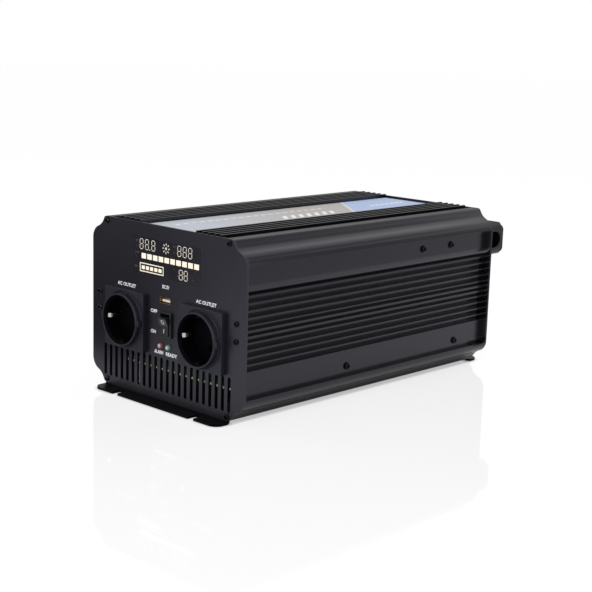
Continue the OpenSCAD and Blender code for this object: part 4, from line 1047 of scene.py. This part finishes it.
lamps = [
    soft_lamp("lamp_behind", place=(0.45, 1.05, 1.2), target=(0.05, 0.1, 0.1),
              width=1.3, height=0.7, power=9),
    soft_lamp("lamp_front", place=(-1.7, -0.75, 0.9), target=(0, -0.1, 0.08),
              width=1.0, height=0.9, power=12),
    soft_lamp("lamp_fill", place=(0.35, -1.25, 0.55), target=(0, -0.16, 0.08),
              width=0.18, height=0.18, power=4.5, mirrored=True),
    soft_lamp("lamp_glint", place=(1.5, -0.1, 0.6), target=(0.1, 0, 0.08),
              width=0.12, height=0.12, power=2.5, mirrored=True),
]
print("lamps:", {holder.name: holder.data.energy for holder in lamps})

# %% [markdown]
# ## World
# Around the sweep the studio is white. As a light, a world of that strength would wash out the
# colours, so it is white only where the picture, glass and reflections see it. As a light it has half
# that strength, and colours come out about as they are written. A picture of a studio could stand here, but
# two plain backgrounds and a Light Path node are enough.

# %% World

scene.view_settings.view_transform = "Standard"
world = bpy.data.worlds.new("studio")
scene.world = world
world.use_nodes = True
sky = world.node_tree
sky.nodes.clear()
ray = add_node(sky, "ShaderNodeLightPath")
direct = add_node(sky, "ShaderNodeMath", {"operation": "MAXIMUM"},
                  {0: ray.outputs["Is Camera Ray"], 1: ray.outputs["Is Transmission Ray"]})
seen = add_node(sky, "ShaderNodeMath", {"operation": "MAXIMUM"},
                {0: direct.outputs["Value"], 1: ray.outputs["Is Glossy Ray"]})
soft_light = add_node(sky, "ShaderNodeBackground", inputs={"Color": linear("#f4f5f8"), "Strength": 0.5})
white = add_node(sky, "ShaderNodeBackground", inputs={"Color": (1, 1, 1, 1), "Strength": 1.0})
both = add_node(sky, "ShaderNodeMixShader",
                inputs={0: seen.outputs["Value"], 1: soft_light.outputs["Background"],
                        2: white.outputs["Background"]})
add_node(sky, "ShaderNodeOutputWorld", inputs={"Surface": both.outputs["Shader"]})
print("world as a light:", soft_light.inputs["Strength"].default_value)

# %% [markdown]
# ## Floor
# The inverter stands on white paper with a thin polish, which mirrors it a little. Paper that is lit
# until it is white would need so much light that the case would turn grey. So the paper has a glow of
# its own, which fades in narrow gaps and so paints the contact shadow under the feet. Reflections
# see a greyer paper whose glow fades over a wider gap, a painted shade near the case, and the light
# that bounces meets plain matt paper.

# %% Floor


def glowing_paper(tree, white, glow, gap_mm):
    """Matt white paper whose glow makes it white under a soft light and fades in gaps of this size as painted
    shade.
    """
    # Ambient occlusion darkens the glow in gaps: painted shade.
    shade = add_node(tree, "ShaderNodeAmbientOcclusion", {"samples": 8}, {"Distance": gap_mm * MM})
    matt = add_node(tree, "ShaderNodeBsdfDiffuse", inputs={"Color": (white, white, white, 1)})
    lit = add_node(tree, "ShaderNodeEmission", inputs={"Color": shade.outputs["Color"], "Strength": glow})
    both = add_node(tree, "ShaderNodeAddShader",
                    inputs={0: matt.outputs["BSDF"], 1: lit.outputs["Emission"]})
    return both.outputs["Shader"]


def sweep_material(name):
    """White floor: full white to the camera, greyer in reflections, plain paper to the light."""
    made, tree = bare_material(name)
    path = add_node(tree, "ShaderNodeLightPath")
    mirror = add_node(tree, "ShaderNodeBsdfGlossy", inputs={"Color": (1, 1, 1, 1), "Roughness": 0.03})
    polish = add_node(tree, "ShaderNodeFresnel", inputs={"IOR": 1.16})
    shown = add_node(tree, "ShaderNodeMixShader",
                     inputs={0: polish.outputs["Fac"],
                             1: glowing_paper(tree, white=0.1, glow=0.93, gap_mm=4),
                             2: mirror.outputs["BSDF"]})
    bounce = add_node(tree, "ShaderNodeBsdfDiffuse", inputs={"Color": (0.8, 0.8, 0.8, 1)})
    reflected = add_node(tree, "ShaderNodeMixShader",
                         inputs={0: path.outputs["Is Glossy Ray"], 1: bounce.outputs["BSDF"],
                                 2: glowing_paper(tree, white=0.5, glow=0.5, gap_mm=130)})
    direct = add_node(tree, "ShaderNodeMath", {"operation": "MAXIMUM"},
                      {0: path.outputs["Is Camera Ray"], 1: path.outputs["Is Transmission Ray"]})
    surface = add_node(tree, "ShaderNodeMixShader",
                       inputs={0: direct.outputs["Value"], 1: reflected.outputs["Shader"],
                               2: shown.outputs["Shader"]})
    add_node(tree, "ShaderNodeOutputMaterial", inputs={"Surface": surface.outputs["Shader"]})
    return made


def sheet(name, corners, material):
    """One flat face with these corners, in metres."""
    mesh = bpy.data.meshes.new(name)
    mesh.from_pydata(corners, [], [range(len(corners))])
    mesh.materials.append(material)
    made = bpy.data.objects.new(name, mesh)
    scene.collection.objects.link(made)
    return made


floor_half = 30.0
floor_corners = [(-floor_half, -floor_half, 0), (floor_half, -floor_half, 0),
                 (floor_half, floor_half, 0), (-floor_half, floor_half, 0)]
floor = sheet("floor", floor_corners, sweep_material("sweep_white"))
print("floor:", 2 * floor_half, "m wide")

# %% [markdown]
# ## Flags
# A photographer shapes the reflections on black things with flags: cards that stand beside the
# picture. A black one lies on the floor at the front left, so that the panel darkens towards the left.
# A narrow black one stands close to the rear end of the right side and draws its dark end. Four grey
# ones calm the roof, the side and the rounded edges: one stands behind on the left, one upright on the
# right, one lies on the floor on the right, and one hangs high over the right.
# Real cards would also throw shadows and show in the polished floor. So these are seen by reflected
# rays only, and each is clear to rays that are shorter or longer than its own limits.

# %% Flags


def flag(name, corners, grey=0.0, near=0.0, far=10.0):
    """A card that only reflections show; its corners are in millimetres from the panel's face.

    It has the given grey, and rays shorter than near or longer than far, in metres, go through it.
    """
    made, tree = bare_material(name)
    path = add_node(tree, "ShaderNodeLightPath")
    is_met = add_node(tree, "ShaderNodeMath", {"operation": "COMPARE"},
                      {0: path.outputs["Ray Length"], 1: (near + far) / 2, 2: (far - near) / 2})
    clear = add_node(tree, "ShaderNodeBsdfTransparent")
    cloth = add_node(tree, "ShaderNodeEmission", inputs={"Color": (1, 1, 1, 1), "Strength": grey})
    surface = add_node(tree, "ShaderNodeMixShader",
                       inputs={0: is_met.outputs["Value"], 1: clear.outputs["BSDF"],
                               2: cloth.outputs["Emission"]})
    add_node(tree, "ShaderNodeOutputMaterial", inputs={"Surface": surface.outputs["Shader"]})
    card = sheet(name, [Vector(corner) * MM + Vector((0, panel_y, 0)) for corner in corners], made)
    for rays in ("camera", "diffuse", "transmission", "shadow", "volume_scatter"):
        setattr(card, "visible_" + rays, False)
    return card


front_flag = flag("flag_front", [(-85, -20, 0.3), (-1150, -1560, 0.3),
                                 (-2500, -1000, 0.3), (-2500, -20, 0.3)], near=0.1)
end_flag = flag("flag_end", [(107, 314.6, 8), (107, 314.6, 128), (107, 333, 128), (107, 333, 8)],
                far=0.03)
roof_flag = flag("flag_roof", [(-490, 119, 150), (4, 588, 150), (4, 588, 310), (-490, 119, 310)],
                 grey=0.32, far=0.51)
side_flag = flag("flag_side", [(350, 264, 150), (350, 764, 150), (350, 764, 520), (350, 264, 520)],
                 grey=0.5, far=0.52)
floor_flag = flag("flag_floor", [(400, 250, 1), (1600, 250, 1), (1600, 1900, 1), (400, 1900, 1)],
                  grey=0.66, near=0.3)
high_flag = flag("flag_high", [(180, 400, 600), (450, 400, 600), (450, 950, 600), (180, 950, 600)],
                 grey=0.55, far=0.9)
